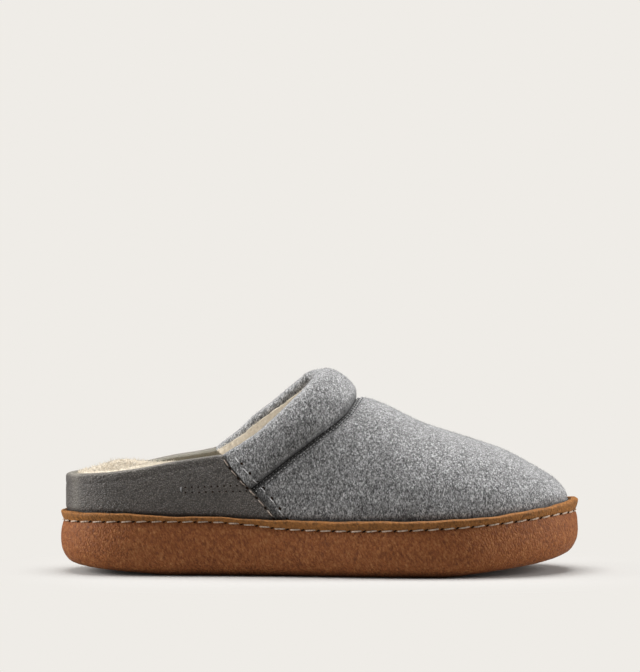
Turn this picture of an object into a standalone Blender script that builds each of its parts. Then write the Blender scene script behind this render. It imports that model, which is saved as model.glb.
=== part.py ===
"""A scuff slipper, right shoe, toe towards +X, outer side towards -Y, flat on its sole.

The sole is a stack of rings cut from one plan outline. The upper is one surface between the ring
of its foot and the ring of its mouth. Both rings, and every section between, come from the sizes
and the short tables below, and the quarter and the cuff are wrapped over that same surface.
"""

import math

import bmesh
import bpy
import numpy as np

# Sizes, in metres

MM = 0.001

SHOE_LENGTH = 295 * MM
BALL_WIDTH = 106.5 * MM

SOLE_HEIGHT = 26.3 * MM
BAND_HEIGHT = 5.6 * MM
EDGE_ROUND = 8.0 * MM
GROOVE_DEPTH = 1.9 * MM
LIP_ROUND = 1.2 * MM

FOOT_INSET = 4.5 * MM
SKIRT = 2.5 * MM
FELT_WALL = 3.0 * MM
LEATHER_WALL = 1.4 * MM
HEEL_RIM = 25.0 * MM
THROAT_HEIGHT = 81.7 * MM
MEDIAL_MOUTH_SHIFT = 5.0 * MM

QUARTER_FACING = 9.0 * MM
QUARTER_RISE = 1.4 * MM
CUFF_PAD = 7.2 * MM
CUFF_EDGE = 0.8 * MM
CUFF_FACING = 13.0 * MM
CUFF_FACING_WALL = 2.0 * MM
CUFF_TO_QUARTER = 1.0 * MM
EDGE_LOOK = 3.0 * MM

FOOTBED_THICKNESS = 8.0 * MM
CUP_WALL = 4.0 * MM
CUP_SLOPE = 7.0 * MM
CUP_TO_FACING = 1.5 * MM

CLEARANCE = 0.3 * MM
SIDE_CLEARANCE = 0.5 * MM

# Tables. Each row is one section, and its numbers are shares of the sizes named in the heading.

# Plan outline from the heel round the outer side to the toe and back along the inner side:
# distance from the heel / SHOE_LENGTH, sideways / BALL_WIDTH
PLAN = (
    (0.000, 0.000),
    (0.022, -0.188),
    (0.075, -0.300),
    (0.165, -0.352),
    (0.300, -0.368),
    (0.430, -0.398),
    (0.560, -0.460),
    (0.680, -0.498),
    (0.780, -0.484),
    (0.870, -0.404),
    (0.945, -0.262),
    (0.989, -0.080),
    (1.000, 0.068),
    (0.985, 0.225),
    (0.935, 0.372),
    (0.855, 0.468),
    (0.745, 0.494),
    (0.620, 0.440),
    (0.480, 0.356),
    (0.340, 0.328),
    (0.190, 0.340),
    (0.080, 0.300),
    (0.022, 0.188),
)

# Heights of the sole along the shoe: distance from the heel / SHOE_LENGTH,
# underside / SOLE_HEIGHT, stitched top / SOLE_HEIGHT, welt band / BAND_HEIGHT
SOLE = (
    (0.000, 0.210, 1.110, 1.00),
    (0.030, 0.185, 1.125, 0.92),
    (0.080, 0.125, 1.145, 0.88),
    (0.140, 0.070, 1.160, 0.72),
    (0.180, 0.030, 1.165, 0.60),
    (0.220, 0.000, 1.165, 0.50),
    (0.280, 0.000, 1.165, 0.46),
    (0.370, 0.000, 1.100, 0.58),
    (0.430, 0.000, 1.020, 0.82),
    (0.540, 0.000, 0.990, 0.94),
    (0.640, 0.000, 1.010, 0.90),
    (0.720, 0.000, 1.045, 0.83),
    (0.800, 0.085, 1.105, 0.77),
    (0.860, 0.165, 1.165, 0.82),
    (0.920, 0.255, 1.235, 0.88),
    (0.960, 0.335, 1.285, 1.02),
    (1.000, 0.410, 1.300, 1.25),
)

# Side wall of the outsole: height / local wall height, inset / EDGE_ROUND
SOLE_WALL = (
    (0.00, 1.000),
    (0.04, 0.680),
    (0.11, 0.440),
    (0.21, 0.230),
    (0.36, 0.060),
    (0.56, 0.000),
    (0.80, 0.050),
    (0.94, 0.140),
)

# Outer face of the welt band: height / local band height, inset / GROOVE_DEPTH
WELT_WALL = (
    (0.00, 1.00),
    (0.20, 0.62),
    (0.55, 0.16),
    (0.78, 0.00),
)

# Mouth of the felt wall behind the throat: distance from the heel / SHOE_LENGTH,
# height over the wall's foot from HEEL_RIM at 0 to THROAT_HEIGHT at 1,
# and how far up its arched section the edge lies, where 1 is the ridge
MOUTH = (
    (0.000, -0.010, 0.18),
    (0.080, 0.005, 0.28),
    (0.150, 0.045, 0.36),
    (0.230, 0.125, 0.43),
    (0.317, 0.200, 0.51),
    (0.345, 0.260, 0.56),
    (0.382, 0.375, 0.62),
    (0.420, 0.545, 0.69),
    (0.456, 0.715, 0.77),
    (0.487, 0.868, 0.87),
    (0.512, 1.000, 1.00),
)

# Ridge of the vamp from the throat to the toe: distance from the heel / SHOE_LENGTH,
# height over the wall's foot / THROAT_HEIGHT
RIDGE = (
    (0.512, 1.000),
    (0.569, 0.900),
    (0.617, 0.846),
    (0.695, 0.702),
    (0.780, 0.583),
    (0.854, 0.468),
    (0.915, 0.328),
    (0.956, 0.218),
    (0.977, 0.120),
    (0.9847, 0.000),
)

# Lower seam of the cuff in side view: distance from the heel / SHOE_LENGTH,
# height over the wall's foot / THROAT_HEIGHT
CUFF_SEAM = (
    (0.300, 0.070),
    (0.368, 0.243),
    (0.420, 0.416),
    (0.494, 0.632),
    (0.553, 0.802),
    (0.571, 0.893),
    (0.600, 1.000),
)

# Padding of the cuff along its length: share of the way from the quarter seam to the centre,
# padding / CUFF_PAD, facing / CUFF_FACING
CUFF = (
    (0.00, 0.28, 0.55),
    (0.20, 0.62, 0.82),
    (0.50, 0.90, 1.00),
    (1.00, 1.00, 1.00),
)

# Inner side's mouth lies further back: distance from the heel / SHOE_LENGTH, share of the shift
INNER_SHIFT = (
    (0.080, 0.0),
    (0.250, 1.0),
    (0.310, 1.6),
    (0.370, 2.0),
    (0.440, 1.6),
    (0.487, 1.1),
    (0.512, 0.0),
)

# Footbed: distance from the heel / SHOE_LENGTH, thickness / FOOTBED_THICKNESS,
# height of its cup's rim as a share of the way from the footbed up to the mouth
FOOTBED = (
    (0.000, 1.90, 1.00),
    (0.120, 1.90, 0.98),
    (0.200, 1.75, 0.80),
    (0.280, 1.50, 0.45),
    (0.380, 1.15, 0.14),
    (0.480, 1.00, 0.05),
    (0.800, 1.00, 0.05),
    (1.000, 0.90, 0.10),
)

# Heights of the cup's rings up the wall: its middle as a share of its rim's height where it clears
# the quarter's facing, and its low ring as a share of its middle's height
CUP_MIDDLE = 0.85
CUP_LOW = 0.80

# Where the quarter's front edge leaves the foot of the wall and where it meets the mouth
QUARTER_FOOT = 0.427 * SHOE_LENGTH
QUARTER_TOP = 0.318 * SHOE_LENGTH

# How finely the curved pieces are drawn
SOLE_STATIONS = 34
HEEL_RIBS = 13
VAMP_RIBS = 17
LOW_ROWS = 10
FOOT_CROWDING = 1.35
CUFF_ROWS = 4
QUARTER_ROWS = 5
ROLL_STEPS = 5
FACING_ROWS = 3
OUTLINE_STEPS = 60
FINE = 400
SHARP_ANGLE = math.radians(50)

COLOURS = {
    "outsole": ((0.26, 0.085, 0.032), 0.75),
    "welt": ((0.36, 0.17, 0.055), 0.75),
    "upper": ((0.23, 0.23, 0.24), 0.95),
    "quarter": ((0.085, 0.078, 0.070), 0.60),
    "collar_cuff": ((0.25, 0.25, 0.26), 0.95),
    "insole": ((0.72, 0.62, 0.46), 0.95),
}


# Curves through tables

def smooth_curve(rows, column, x_size, size):
    """A curve through one column of a table that never overshoots its rows."""
    table = np.array(rows, dtype=float)
    xs, ys = table[:, 0] * x_size, table[:, column] * size
    step = np.diff(xs)
    slope = np.diff(ys) / step
    tangent = np.empty_like(ys)
    tangent[0], tangent[-1] = slope[0], slope[-1]
    for i in range(1, len(xs) - 1):
        before, after = slope[i - 1], slope[i]
        if before * after <= 0:
            tangent[i] = 0.0
        else:
            tangent[i] = 2.0 * before * after / (before + after)

    def at(x):
        x = np.clip(x, xs[0], xs[-1])
        i = np.clip(np.searchsorted(xs, x, side="right") - 1, 0, len(step) - 1)
        t = (x - xs[i]) / step[i]
        start = (1 + 2 * t) * (1 - t) ** 2 * ys[i] + t * (1 - t) ** 2 * step[i] * tangent[i]
        end = t * t * (3 - 2 * t) * ys[i + 1] + t * t * (t - 1) * step[i] * tangent[i + 1]
        return start + end

    return at


def closed_curve(points, steps):
    """Points on the smooth closed curve through the given ones, evenly many in each span."""
    p = np.array(points)
    after = np.roll(p, -1, axis=0) - p
    h = np.linalg.norm(after, axis=1)
    h_before = np.roll(h, 1)
    slope = after / h[:, None]
    slope_before = np.roll(slope, 1, axis=0)
    n = len(p)
    matrix = np.zeros((n, n))
    for i in range(n):
        matrix[i, (i - 1) % n] = h[i]
        matrix[i, i] = 2 * (h[i] + h_before[i])
        matrix[i, (i + 1) % n] = h_before[i]
    right = 3 * (h[:, None] * slope_before + h_before[:, None] * slope)
    tangent = np.linalg.solve(matrix, right)
    curve = []
    for i in range(n):
        j = (i + 1) % n
        for t in np.arange(steps) / steps:
            start = (1 + 2 * t) * (1 - t) ** 2 * p[i] + t * (1 - t) ** 2 * h[i] * tangent[i]
            end = t * t * (3 - 2 * t) * p[j] + t * t * (t - 1) * h[i] * tangent[j]
            curve.append(start + end)
    return np.array(curve)


def unit(v):
    return v / np.maximum(np.linalg.norm(v, axis=-1, keepdims=True), 1e-12)


# The plan outline and its insets

PLAN_SCALE = np.array([SHOE_LENGTH, BALL_WIDTH])
OUTLINE = closed_curve(np.array(PLAN) * PLAN_SCALE, OUTLINE_STEPS)
ORIGIN = (OUTLINE.min(axis=0) + OUTLINE.max(axis=0)) / 2
OUTLINE_LEFT = unit(np.roll(OUTLINE, -1, axis=0) - np.roll(OUTLINE, 1, axis=0))
INWARD = np.stack([-OUTLINE_LEFT[:, 1], OUTLINE_LEFT[:, 0]], axis=1)


def sides(inset):
    """The outer and the inner half of the outline at an inset, each from heel to toe."""
    ring = OUTLINE + INWARD * inset
    ring = np.roll(ring, -int(ring[:, 0].argmin()), axis=0)
    toe = int(ring[:, 0].argmax())
    outer = ring[: toe + 1]
    inner = np.vstack([ring[toe:], ring[:1]])[::-1]
    return outer, inner


def sideways(half, x):
    return np.interp(x, half[:, 0], half[:, 1])


underside_at = smooth_curve(SOLE, 1, SHOE_LENGTH, SOLE_HEIGHT)
sole_top_at = smooth_curve(SOLE, 2, SHOE_LENGTH, SOLE_HEIGHT)
band_at = smooth_curve(SOLE, 3, SHOE_LENGTH, BAND_HEIGHT)


def foot_at(x):
    """Height of the wall's foot, which stands on the outsole."""
    return sole_top_at(x) + CLEARANCE


def band_top_at(x):
    return sole_top_at(x) + CLEARANCE + band_at(x)


# Building meshes

def finish(name, bm):
    """Make an object of a closed mesh, facing out, with its own material."""
    bmesh.ops.remove_doubles(bm, verts=bm.verts, dist=1e-6)
    bmesh.ops.recalc_face_normals(bm, faces=bm.faces)
    mesh = bpy.data.meshes.new(name)
    for v in bm.verts:
        v.co.x -= ORIGIN[0]
        v.co.y -= ORIGIN[1]
    bm.to_mesh(mesh)
    bm.free()
    mesh.shade_smooth()
    mesh.set_sharp_from_angle(angle=SHARP_ANGLE)
    obj = bpy.data.objects.new(name, mesh)
    colour, roughness = COLOURS[name]
    material = bpy.data.materials.new(name)
    material.use_nodes = True
    shader = material.node_tree.nodes["Principled BSDF"]
    shader.inputs["Base Color"].default_value = (*colour, 1.0)
    shader.inputs["Roughness"].default_value = roughness
    material.diffuse_color = (*colour, 1.0)
    mesh.materials.append(material)
    bpy.data.collections["scuff_slipper"].objects.link(obj)
    return obj


def ring_at(inset, height):
    """A closed ring of points at an inset of the outline, its height a function of x."""
    outer, inner = sides(inset)
    share = (1 - np.cos(np.pi * np.arange(SOLE_STATIONS + 1) / SOLE_STATIONS)) / 2
    x = outer[0, 0] + (outer[-1, 0] - outer[0, 0]) * share
    there = np.stack([x, sideways(outer, x), height(x)], axis=1)
    back = np.stack([x, sideways(inner, x), height(x)], axis=1)[-2:0:-1]
    return np.vstack([there, back])


def join_rings(bm, rings, closed):
    """Faces between neighbouring rings of equal counts, and back to the first where closed."""
    layers = [[bm.verts.new(p) for p in ring] for ring in rings]
    n = len(layers[0])
    pairs = list(zip(layers, layers[1:]))
    if closed:
        pairs.append((layers[-1], layers[0]))
    for low, high in pairs:
        for i in range(n):
            j = (i + 1) % n
            bm.faces.new((low[i], low[j], high[j], high[i]))
    return layers


def cap_ring(bm, ring):
    """Close a ring with strips that run straight across from its outer to its inner side."""
    n = len(ring)
    half = n // 2
    bm.faces.new((ring[0], ring[1], ring[n - 1]))
    for i in range(1, half - 1):
        bm.faces.new((ring[i], ring[i + 1], ring[n - i - 1], ring[n - i]))
    bm.faces.new((ring[half - 1], ring[half], ring[half + 1]))


def slab(name, outside, inside, closed):
    """A solid between two grids of points, whose edges are joined."""
    bm = bmesh.new()
    out = [[bm.verts.new(p) for p in line] for line in outside]
    back = [[bm.verts.new(p) for p in line] for line in inside]
    columns, rows = len(out), len(out[0])
    for i in range(columns if closed else columns - 1):
        j = (i + 1) % columns
        for k in range(rows - 1):
            bm.faces.new((out[i][k], out[j][k], out[j][k + 1], out[i][k + 1]))
            bm.faces.new((back[i][k], back[i][k + 1], back[j][k + 1], back[j][k]))
        for k in (0, rows - 1):
            bm.faces.new((out[i][k], back[i][k], back[j][k], out[j][k]))
    if not closed:
        for i in (0, columns - 1):
            for k in range(rows - 1):
                bm.faces.new((out[i][k], out[i][k + 1], back[i][k + 1], back[i][k]))
    return finish(name, bm)


# Sole

def make_outsole():
    rings = []
    for share, inset in SOLE_WALL:
        def height(x, share=share):
            return underside_at(x) + (sole_top_at(x) - underside_at(x)) * share
        rings.append(ring_at(inset * EDGE_ROUND, height))
    rings.append(ring_at(GROOVE_DEPTH, sole_top_at))
    bm = bmesh.new()
    layers = join_rings(bm, rings, closed=False)
    cap_ring(bm, layers[0])
    cap_ring(bm, layers[-1])
    return finish("outsole", bm)


def make_welt():
    rings = []
    for share, inset in WELT_WALL:
        def height(x, share=share):
            return foot_at(x) + band_at(x) * share
        rings.append(ring_at(inset * GROOVE_DEPTH, height))
    inner_edge = FOOT_INSET - SIDE_CLEARANCE
    rings.append(ring_at(LIP_ROUND, band_top_at))
    rings.append(ring_at(inner_edge, band_top_at))
    rings.append(ring_at(inner_edge, foot_at))
    bm = bmesh.new()
    join_rings(bm, rings, closed=True)
    return finish("welt", bm)


# Surface of the upper

FOOT_OUTER, FOOT_INNER = sides(FOOT_INSET)
HEEL_X, TOE_X = FOOT_OUTER[0, 0], FOOT_OUTER[-1, 0]
THROAT_X = MOUTH[-1][0] * SHOE_LENGTH
RIM_RANGE = THROAT_HEIGHT - HEEL_RIM

mouth_rise = smooth_curve(MOUTH, 1, SHOE_LENGTH, RIM_RANGE)
mouth_share = smooth_curve(MOUTH, 2, SHOE_LENGTH, 1.0)
inner_shift = smooth_curve(INNER_SHIFT, 1, SHOE_LENGTH, MEDIAL_MOUTH_SHIFT)
seam_rise = smooth_curve(CUFF_SEAM, 1, SHOE_LENGTH, THROAT_HEIGHT)
THROAT_SLOPE = (MOUTH[-1][1] - MOUTH[-3][1]) * RIM_RANGE / (
    (MOUTH[-1][0] - MOUTH[-3][0]) * SHOE_LENGTH
)


def ridge_curve():
    """The ridge from throat to toe, through its rows by distance walked, not by x."""
    rows = np.array(RIDGE) * [SHOE_LENGTH, THROAT_HEIGHT]
    rows[-1] = TOE_X, SKIRT
    walked = np.concatenate([[0], np.cumsum(np.linalg.norm(np.diff(rows, axis=0), axis=1))])
    x_of = smooth_curve(np.stack([walked, rows[:, 0]], axis=1), 1, 1.0, 1.0)
    z_of = smooth_curve(np.stack([walked, rows[:, 1]], axis=1), 1, 1.0, 1.0)
    fine = walked[-1] * np.linspace(0, 1, FINE)
    return x_of(fine), z_of(fine)


RIDGE_X, RIDGE_Z = ridge_curve()


def mouth_at(x, inner):
    """Height of the mouth over the foot, carried on past the throat at its slope."""
    if inner:
        x = x + inner_shift(x)
    behind = HEEL_RIM + mouth_rise(np.minimum(x, THROAT_X))
    return behind + THROAT_SLOPE * np.maximum(x - THROAT_X, 0)


def arch_at(x, inner):
    """Height of the whole arched section over the foot, which the mouth cuts behind the throat."""
    behind = mouth_at(np.minimum(x, THROAT_X), inner) / mouth_share(np.minimum(x, THROAT_X))
    ahead = np.interp(x, RIDGE_X, RIDGE_Z)
    return np.where(x < THROAT_X, behind, ahead)


RIDGE_LEVEL = (RIDGE_Z - SKIRT) / (mouth_at(RIDGE_X, False) - SKIRT)
HEEL_Y, TIP_Y = FOOT_OUTER[0, 1], FOOT_OUTER[-1, 1]


def rib(inner, heel_part, share):
    """Points up one rib, the distance walked to each, and the share walked at the cuff's seam.

    A rib's level runs from 0 at the foot to 1 at the mouth. Behind the quarter seam its share
    runs from the heel to the seam, and ahead of it from the seam to the ridge at that level.
    """
    level = np.linspace(0, 1, FINE)
    top = QUARTER_TOP - (MEDIAL_MOUTH_SHIFT if inner else 0)
    seam = QUARTER_FOOT + (top - QUARTER_FOOT) * level
    front = np.interp(level, RIDGE_LEVEL[::-1], RIDGE_X[::-1])
    if heel_part:
        x = HEEL_X + (seam - HEEL_X) * share
    else:
        x = seam + (front - seam) * share
    rise = SKIRT + level * (mouth_at(x, inner) - SKIRT)
    up = np.clip((rise - SKIRT) / np.maximum(arch_at(x, inner) - SKIRT, 1e-9), 0, 1)
    if not heel_part and share >= 1:
        up[:] = 1.0
    side = sideways(FOOT_INNER if inner else FOOT_OUTER, x)
    middle = HEEL_Y + (TIP_Y - HEEL_Y) * np.clip((x - THROAT_X) / (TOE_X - THROAT_X), 0, 1)
    y = middle + (side - middle) * np.sqrt(1 - up * up)
    points = np.stack([x, y, foot_at(x) + rise], axis=1)
    walked = np.concatenate([[0], np.cumsum(np.linalg.norm(np.diff(points, axis=0), axis=1))])
    crossing = int(np.argmax(rise > seam_rise(x)))
    return points, walked, walked[crossing] / walked[-1]


def surface():
    """The upper's outer surface: columns round the shoe, rows from the foot up to the mouth."""
    heel = 1 - np.cos(np.pi / 2 * np.arange(HEEL_RIBS) / HEEL_RIBS)
    vamp = np.sin(np.pi / 2 * np.arange(VAMP_RIBS + 1) / VAMP_RIBS)
    shares = [(True, s) for s in heel] + [(False, s) for s in vamp]
    last = len(shares) - 1
    order = [(False, i) for i in range(last + 1)] + [(True, i) for i in range(last - 1, 0, -1)]
    columns = []
    for inner, i in order:
        heel_part, share = shares[i]
        points, walked, seam_share = rib(inner, heel_part, share)
        if heel_part:
            seam_share = rib(inner, False, 0.0)[2]
        low = seam_share * np.linspace(0, 1, LOW_ROWS + 1)[:-1] ** FOOT_CROWDING
        high = np.linspace(seam_share, 1, CUFF_ROWS + 1)
        wanted = np.concatenate([low, high]) * walked[-1]
        line = np.stack([np.interp(wanted, walked, points[:, k]) for k in range(3)], axis=1)
        foot = line[:1] - [0, 0, SKIRT]
        columns.append(np.vstack([foot, line]))
    grid = np.array(columns)
    around = np.roll(grid, -1, axis=0) - np.roll(grid, 1, axis=0)
    upward = np.gradient(grid, axis=1)
    normal = unit(np.cross(around, upward))
    return grid, normal


GRID, NORMAL = surface()
TOE_COLUMN = HEEL_RIBS + VAMP_RIBS
COLUMNS = len(GRID)


def column(index):
    """Points, normals and distance walked up a column, whose index may lie between two."""
    low = int(math.floor(index))
    part = index - low
    a, b = low % COLUMNS, (low + 1) % COLUMNS
    points = GRID[a] * (1 - part) + GRID[b] * part
    normals = unit(NORMAL[a] * (1 - part) + NORMAL[b] * part)
    walked = np.concatenate([[0], np.cumsum(np.linalg.norm(np.diff(points, axis=0), axis=1))])
    return points, normals, walked


def up_column(col, distance):
    points, normals, walked = col
    point = np.array([np.interp(distance, walked, points[:, k]) for k in range(3)])
    normal = np.array([np.interp(distance, walked, normals[:, k]) for k in range(3)])
    return point, unit(normal)


def distance_to_height(col, height_over_foot):
    points, _, walked = col
    return float(np.interp(height_over_foot, points[:, 2] - foot_at(points[:, 0]), walked))


# Upper, quarter and cuff

def make_upper():
    """One felt wall: an open surface given its thickness inwards."""
    bm = bmesh.new()
    verts = [[bm.verts.new(p) for p in line] for line in GRID]
    for i in range(COLUMNS):
        j = (i + 1) % COLUMNS
        for k in range(len(verts[0]) - 1):
            bm.faces.new((verts[i][k], verts[j][k], verts[j][k + 1], verts[i][k + 1]))
    obj = finish("upper", bm)
    wall = obj.modifiers.new("felt wall", "SOLIDIFY")
    wall.thickness = FELT_WALL
    wall.offset = -1.0
    wall.use_even_offset = True
    wall.use_quality_normals = True
    return obj


def wrap(col, distances, thickness, rise, facing, facing_wall):
    """The section of a piece that lies on the wall, rolls over its edge and ends inside it.

    Gives its outer line and the line next to the wall, point for point.
    """
    outside, against = [], []
    for distance, thick in zip(distances, thickness):
        point, normal = up_column(col, distance)
        outside.append(point + normal * (CLEARANCE + thick))
        against.append(point + normal * CLEARANCE)
    top, normal = up_column(col, col[2][-1])
    below, _ = up_column(col, col[2][-1] - EDGE_LOOK)
    up = top - below
    up = unit(up - normal * float(np.dot(up, normal)))
    centre = top - normal * FELT_WALL / 2
    half = FELT_WALL / 2
    for step in range(1, ROLL_STEPS):
        angle = math.pi * step / ROLL_STEPS
        cos, sin = math.cos(angle), math.sin(angle)
        reach = thickness[-1] if cos > 0 else facing_wall
        near = SIDE_CLEARANCE if cos < 0 else CLEARANCE
        higher = up * sin * (SIDE_CLEARANCE + rise)
        outside.append(centre + normal * cos * (half + near + reach) + higher)
        against.append(centre + normal * cos * (half + near) + up * sin * SIDE_CLEARANCE)
    for part in np.linspace(0, 1, FACING_ROWS):
        point, normal = up_column(col, col[2][-1] - facing * part)
        outside.append(point - normal * (FELT_WALL + SIDE_CLEARANCE + facing_wall))
        against.append(point - normal * (FELT_WALL + SIDE_CLEARANCE))
    return outside, against


def make_quarter():
    """Leather round the heel, from the welt up over the rim and a little way down inside."""
    outside, against = [], []
    for index in range(-HEEL_RIBS, HEEL_RIBS + 1):
        col = column(index)
        foot_x = col[0][0, 0]
        start = distance_to_height(col, band_at(foot_x) + CLEARANCE)
        distances = np.linspace(start, col[2][-1], QUARTER_ROWS)
        thickness = np.full(QUARTER_ROWS, LEATHER_WALL)
        out, near = wrap(col, distances, thickness, QUARTER_RISE, QUARTER_FACING, LEATHER_WALL)
        outside.append(out)
        against.append(near)
    return slab("quarter", outside, against, closed=False)


def make_cuff():
    """Padded felt round the front of the mouth, thickest along its rolled edge."""
    pad_at = smooth_curve(CUFF, 1, 1.0, CUFF_PAD)
    facing_at = smooth_curve(CUFF, 2, 1.0, CUFF_FACING)
    spacing = np.linalg.norm(GRID[HEEL_RIBS + 1, -1] - GRID[HEEL_RIBS, -1])
    start = HEEL_RIBS + CUFF_TO_QUARTER / spacing
    half = [start] + list(range(HEEL_RIBS + 1, TOE_COLUMN + 1))
    indices = half + [COLUMNS - i for i in half[-2::-1]]
    outside, against = [], []
    for index in indices:
        from_seam = min(index, COLUMNS - index) - HEEL_RIBS
        share = from_seam / VAMP_RIBS
        col = column(index)
        distances = col[2][LOW_ROWS + 1:]
        way = (distances - distances[0]) / (distances[-1] - distances[0])
        pad = float(pad_at(share))
        thickness = CUFF_EDGE + (pad - CUFF_EDGE) * way * (2 - way)
        facing_wall = min(CUFF_FACING_WALL, pad)
        out, near = wrap(col, distances, thickness, pad, float(facing_at(share)), facing_wall)
        outside.append(out)
        against.append(near)
    return slab("collar_cuff", outside, against, closed=False)


# Footbed

def make_insole():
    """Fleece footbed whose edge rises into a cup round the heel."""
    thick_at = smooth_curve(FOOTBED, 1, SHOE_LENGTH, FOOTBED_THICKNESS)
    cup_at = smooth_curve(FOOTBED, 2, SHOE_LENGTH, 1.0)
    edge = FELT_WALL + SIDE_CLEARANCE
    inside_facing = edge + LEATHER_WALL + SIDE_CLEARANCE
    below_facing = QUARTER_FACING + CUP_TO_FACING
    sections = []
    for index in range(COLUMNS):
        col = column(index)
        foot, outward = up_column(col, 0.0)
        x = foot[0]
        bed = float(thick_at(x))
        mouth = float(mouth_at(x, index > TOE_COLUMN))
        rim = bed + (mouth - bed) * float(cup_at(x))
        rim_distance = distance_to_height(col, rim)
        middle_distance = min(col[2][-1] - below_facing, rim_distance * CUP_MIDDLE)
        low_distance = min(distance_to_height(col, bed), middle_distance * CUP_LOW)
        flat = unit(outward * np.array([1.0, 1.0, 0.0]))
        low, low_normal = up_column(col, low_distance)
        half_up, half_normal = up_column(col, middle_distance)
        high, high_normal = up_column(col, rim_distance)
        base = foot - flat * edge
        seat = high - high_normal * (inside_facing + CUP_WALL + CUP_SLOPE)
        sections.append((
            (base[0], base[1], float(foot_at(base[0]))),
            low - low_normal * edge,
            half_up - half_normal * inside_facing,
            high - high_normal * inside_facing,
            high - high_normal * (inside_facing + CUP_WALL),
            (seat[0], seat[1], float(foot_at(seat[0]) + thick_at(seat[0]))),
        ))
    bm = bmesh.new()
    layers = join_rings(bm, list(zip(*sections)), closed=False)
    cap_ring(bm, layers[0])
    cap_ring(bm, layers[-1])
    return finish("insole", bm)


def main():
    for obj in list(bpy.data.objects):
        bpy.data.objects.remove(obj)
    collection = bpy.data.collections.new("scuff_slipper")
    bpy.context.scene.collection.children.link(collection)
    make_outsole()
    make_welt()
    make_upper()
    make_quarter()
    make_cuff()
    make_insole()


main()
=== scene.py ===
"""Finishes a felt scuff slipper, a right shoe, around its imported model.

Run as a script, it makes each piece of the slipper in turn and then the stage. Lengths are metres,
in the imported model's frame: +X towards the toe, -Y towards the outer side, +Z up from the floor.
"""

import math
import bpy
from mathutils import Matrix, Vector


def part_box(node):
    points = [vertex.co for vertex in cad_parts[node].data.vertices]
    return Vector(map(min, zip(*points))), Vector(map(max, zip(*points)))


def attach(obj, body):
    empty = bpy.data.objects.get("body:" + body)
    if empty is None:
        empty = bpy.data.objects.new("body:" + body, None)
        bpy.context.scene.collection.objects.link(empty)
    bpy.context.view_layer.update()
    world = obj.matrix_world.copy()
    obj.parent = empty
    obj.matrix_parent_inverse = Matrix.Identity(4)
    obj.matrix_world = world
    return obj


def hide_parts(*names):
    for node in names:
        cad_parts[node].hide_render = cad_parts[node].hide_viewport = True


bl_info = {
    "name": "Scuff slipper",
    "version": (1, 0, 0),
    "blender": (4, 5, 0),
    "location": "3D View > Sidebar > Slipper",
    "description": "Makes a felt scuff slipper with a leather quarter and a stitched crepe sole",
    "category": "Add Mesh",
}

import bpy
import numpy as np
from bpy.props import FloatProperty, FloatVectorProperty, IntProperty, PointerProperty
from bpy.types import Operator, Panel, PropertyGroup
from mathutils import Vector
from mathutils.bvhtree import BVHTree

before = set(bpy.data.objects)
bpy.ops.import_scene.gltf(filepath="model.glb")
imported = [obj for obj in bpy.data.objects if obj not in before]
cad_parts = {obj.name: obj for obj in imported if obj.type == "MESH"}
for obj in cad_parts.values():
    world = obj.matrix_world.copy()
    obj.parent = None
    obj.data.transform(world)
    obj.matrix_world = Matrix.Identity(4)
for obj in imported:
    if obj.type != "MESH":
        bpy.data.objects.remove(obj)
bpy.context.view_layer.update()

MM = 0.001

# Sizes of the shoe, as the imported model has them

SOLE_LOW, SOLE_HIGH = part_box("outsole")
SHOE_LENGTH = SOLE_HIGH.x - SOLE_LOW.x
BALL_WIDTH = 106.5 * MM

SOLE_HEIGHT = 26.3 * MM
BAND_HEIGHT = 5.6 * MM
EDGE_ROUND = 8.0 * MM
GROOVE_DEPTH = 1.9 * MM
LIP_ROUND = 1.2 * MM

FOOT_INSET = 4.5 * MM
SKIRT = 2.5 * MM
FELT_WALL = 3.0 * MM
LEATHER_WALL = 1.4 * MM
HEEL_RIM = 25.0 * MM
THROAT_HEIGHT = 81.7 * MM
MEDIAL_MOUTH_SHIFT = 5.0 * MM

QUARTER_FACING = 9.0 * MM
QUARTER_RISE = 1.4 * MM
CUFF_PAD = 7.2 * MM
CUFF_FACING = 13.0 * MM
CUFF_FACING_WALL = 2.0 * MM
EDGE_LOOK = 3.0 * MM

FOOTBED_THICKNESS = 8.0 * MM
CUP_WALL = 4.0 * MM
CUP_SLOPE = 7.0 * MM
CUP_TO_FACING = 1.5 * MM
CUP_MIDDLE = 0.85
CUP_LOW = 0.80

CLEARANCE = 0.3 * MM
SIDE_CLEARANCE = 0.5 * MM

# Tables. Each row is one section, and its numbers are shares of the sizes named in the heading.

# Plan outline from the heel round the outer side to the toe and back along the inner side:
# distance from the heel / SHOE_LENGTH, sideways / BALL_WIDTH
PLAN = (
    (0.000, 0.000), (0.022, -0.188), (0.075, -0.300), (0.165, -0.352), (0.300, -0.368),
    (0.430, -0.398), (0.560, -0.460), (0.680, -0.498), (0.780, -0.484), (0.870, -0.404),
    (0.945, -0.262), (0.989, -0.080), (1.000, 0.068), (0.985, 0.225), (0.935, 0.372),
    (0.855, 0.468), (0.745, 0.494), (0.620, 0.440), (0.480, 0.356), (0.340, 0.328), (0.190, 0.340),
    (0.080, 0.300), (0.022, 0.188),
)

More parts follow.
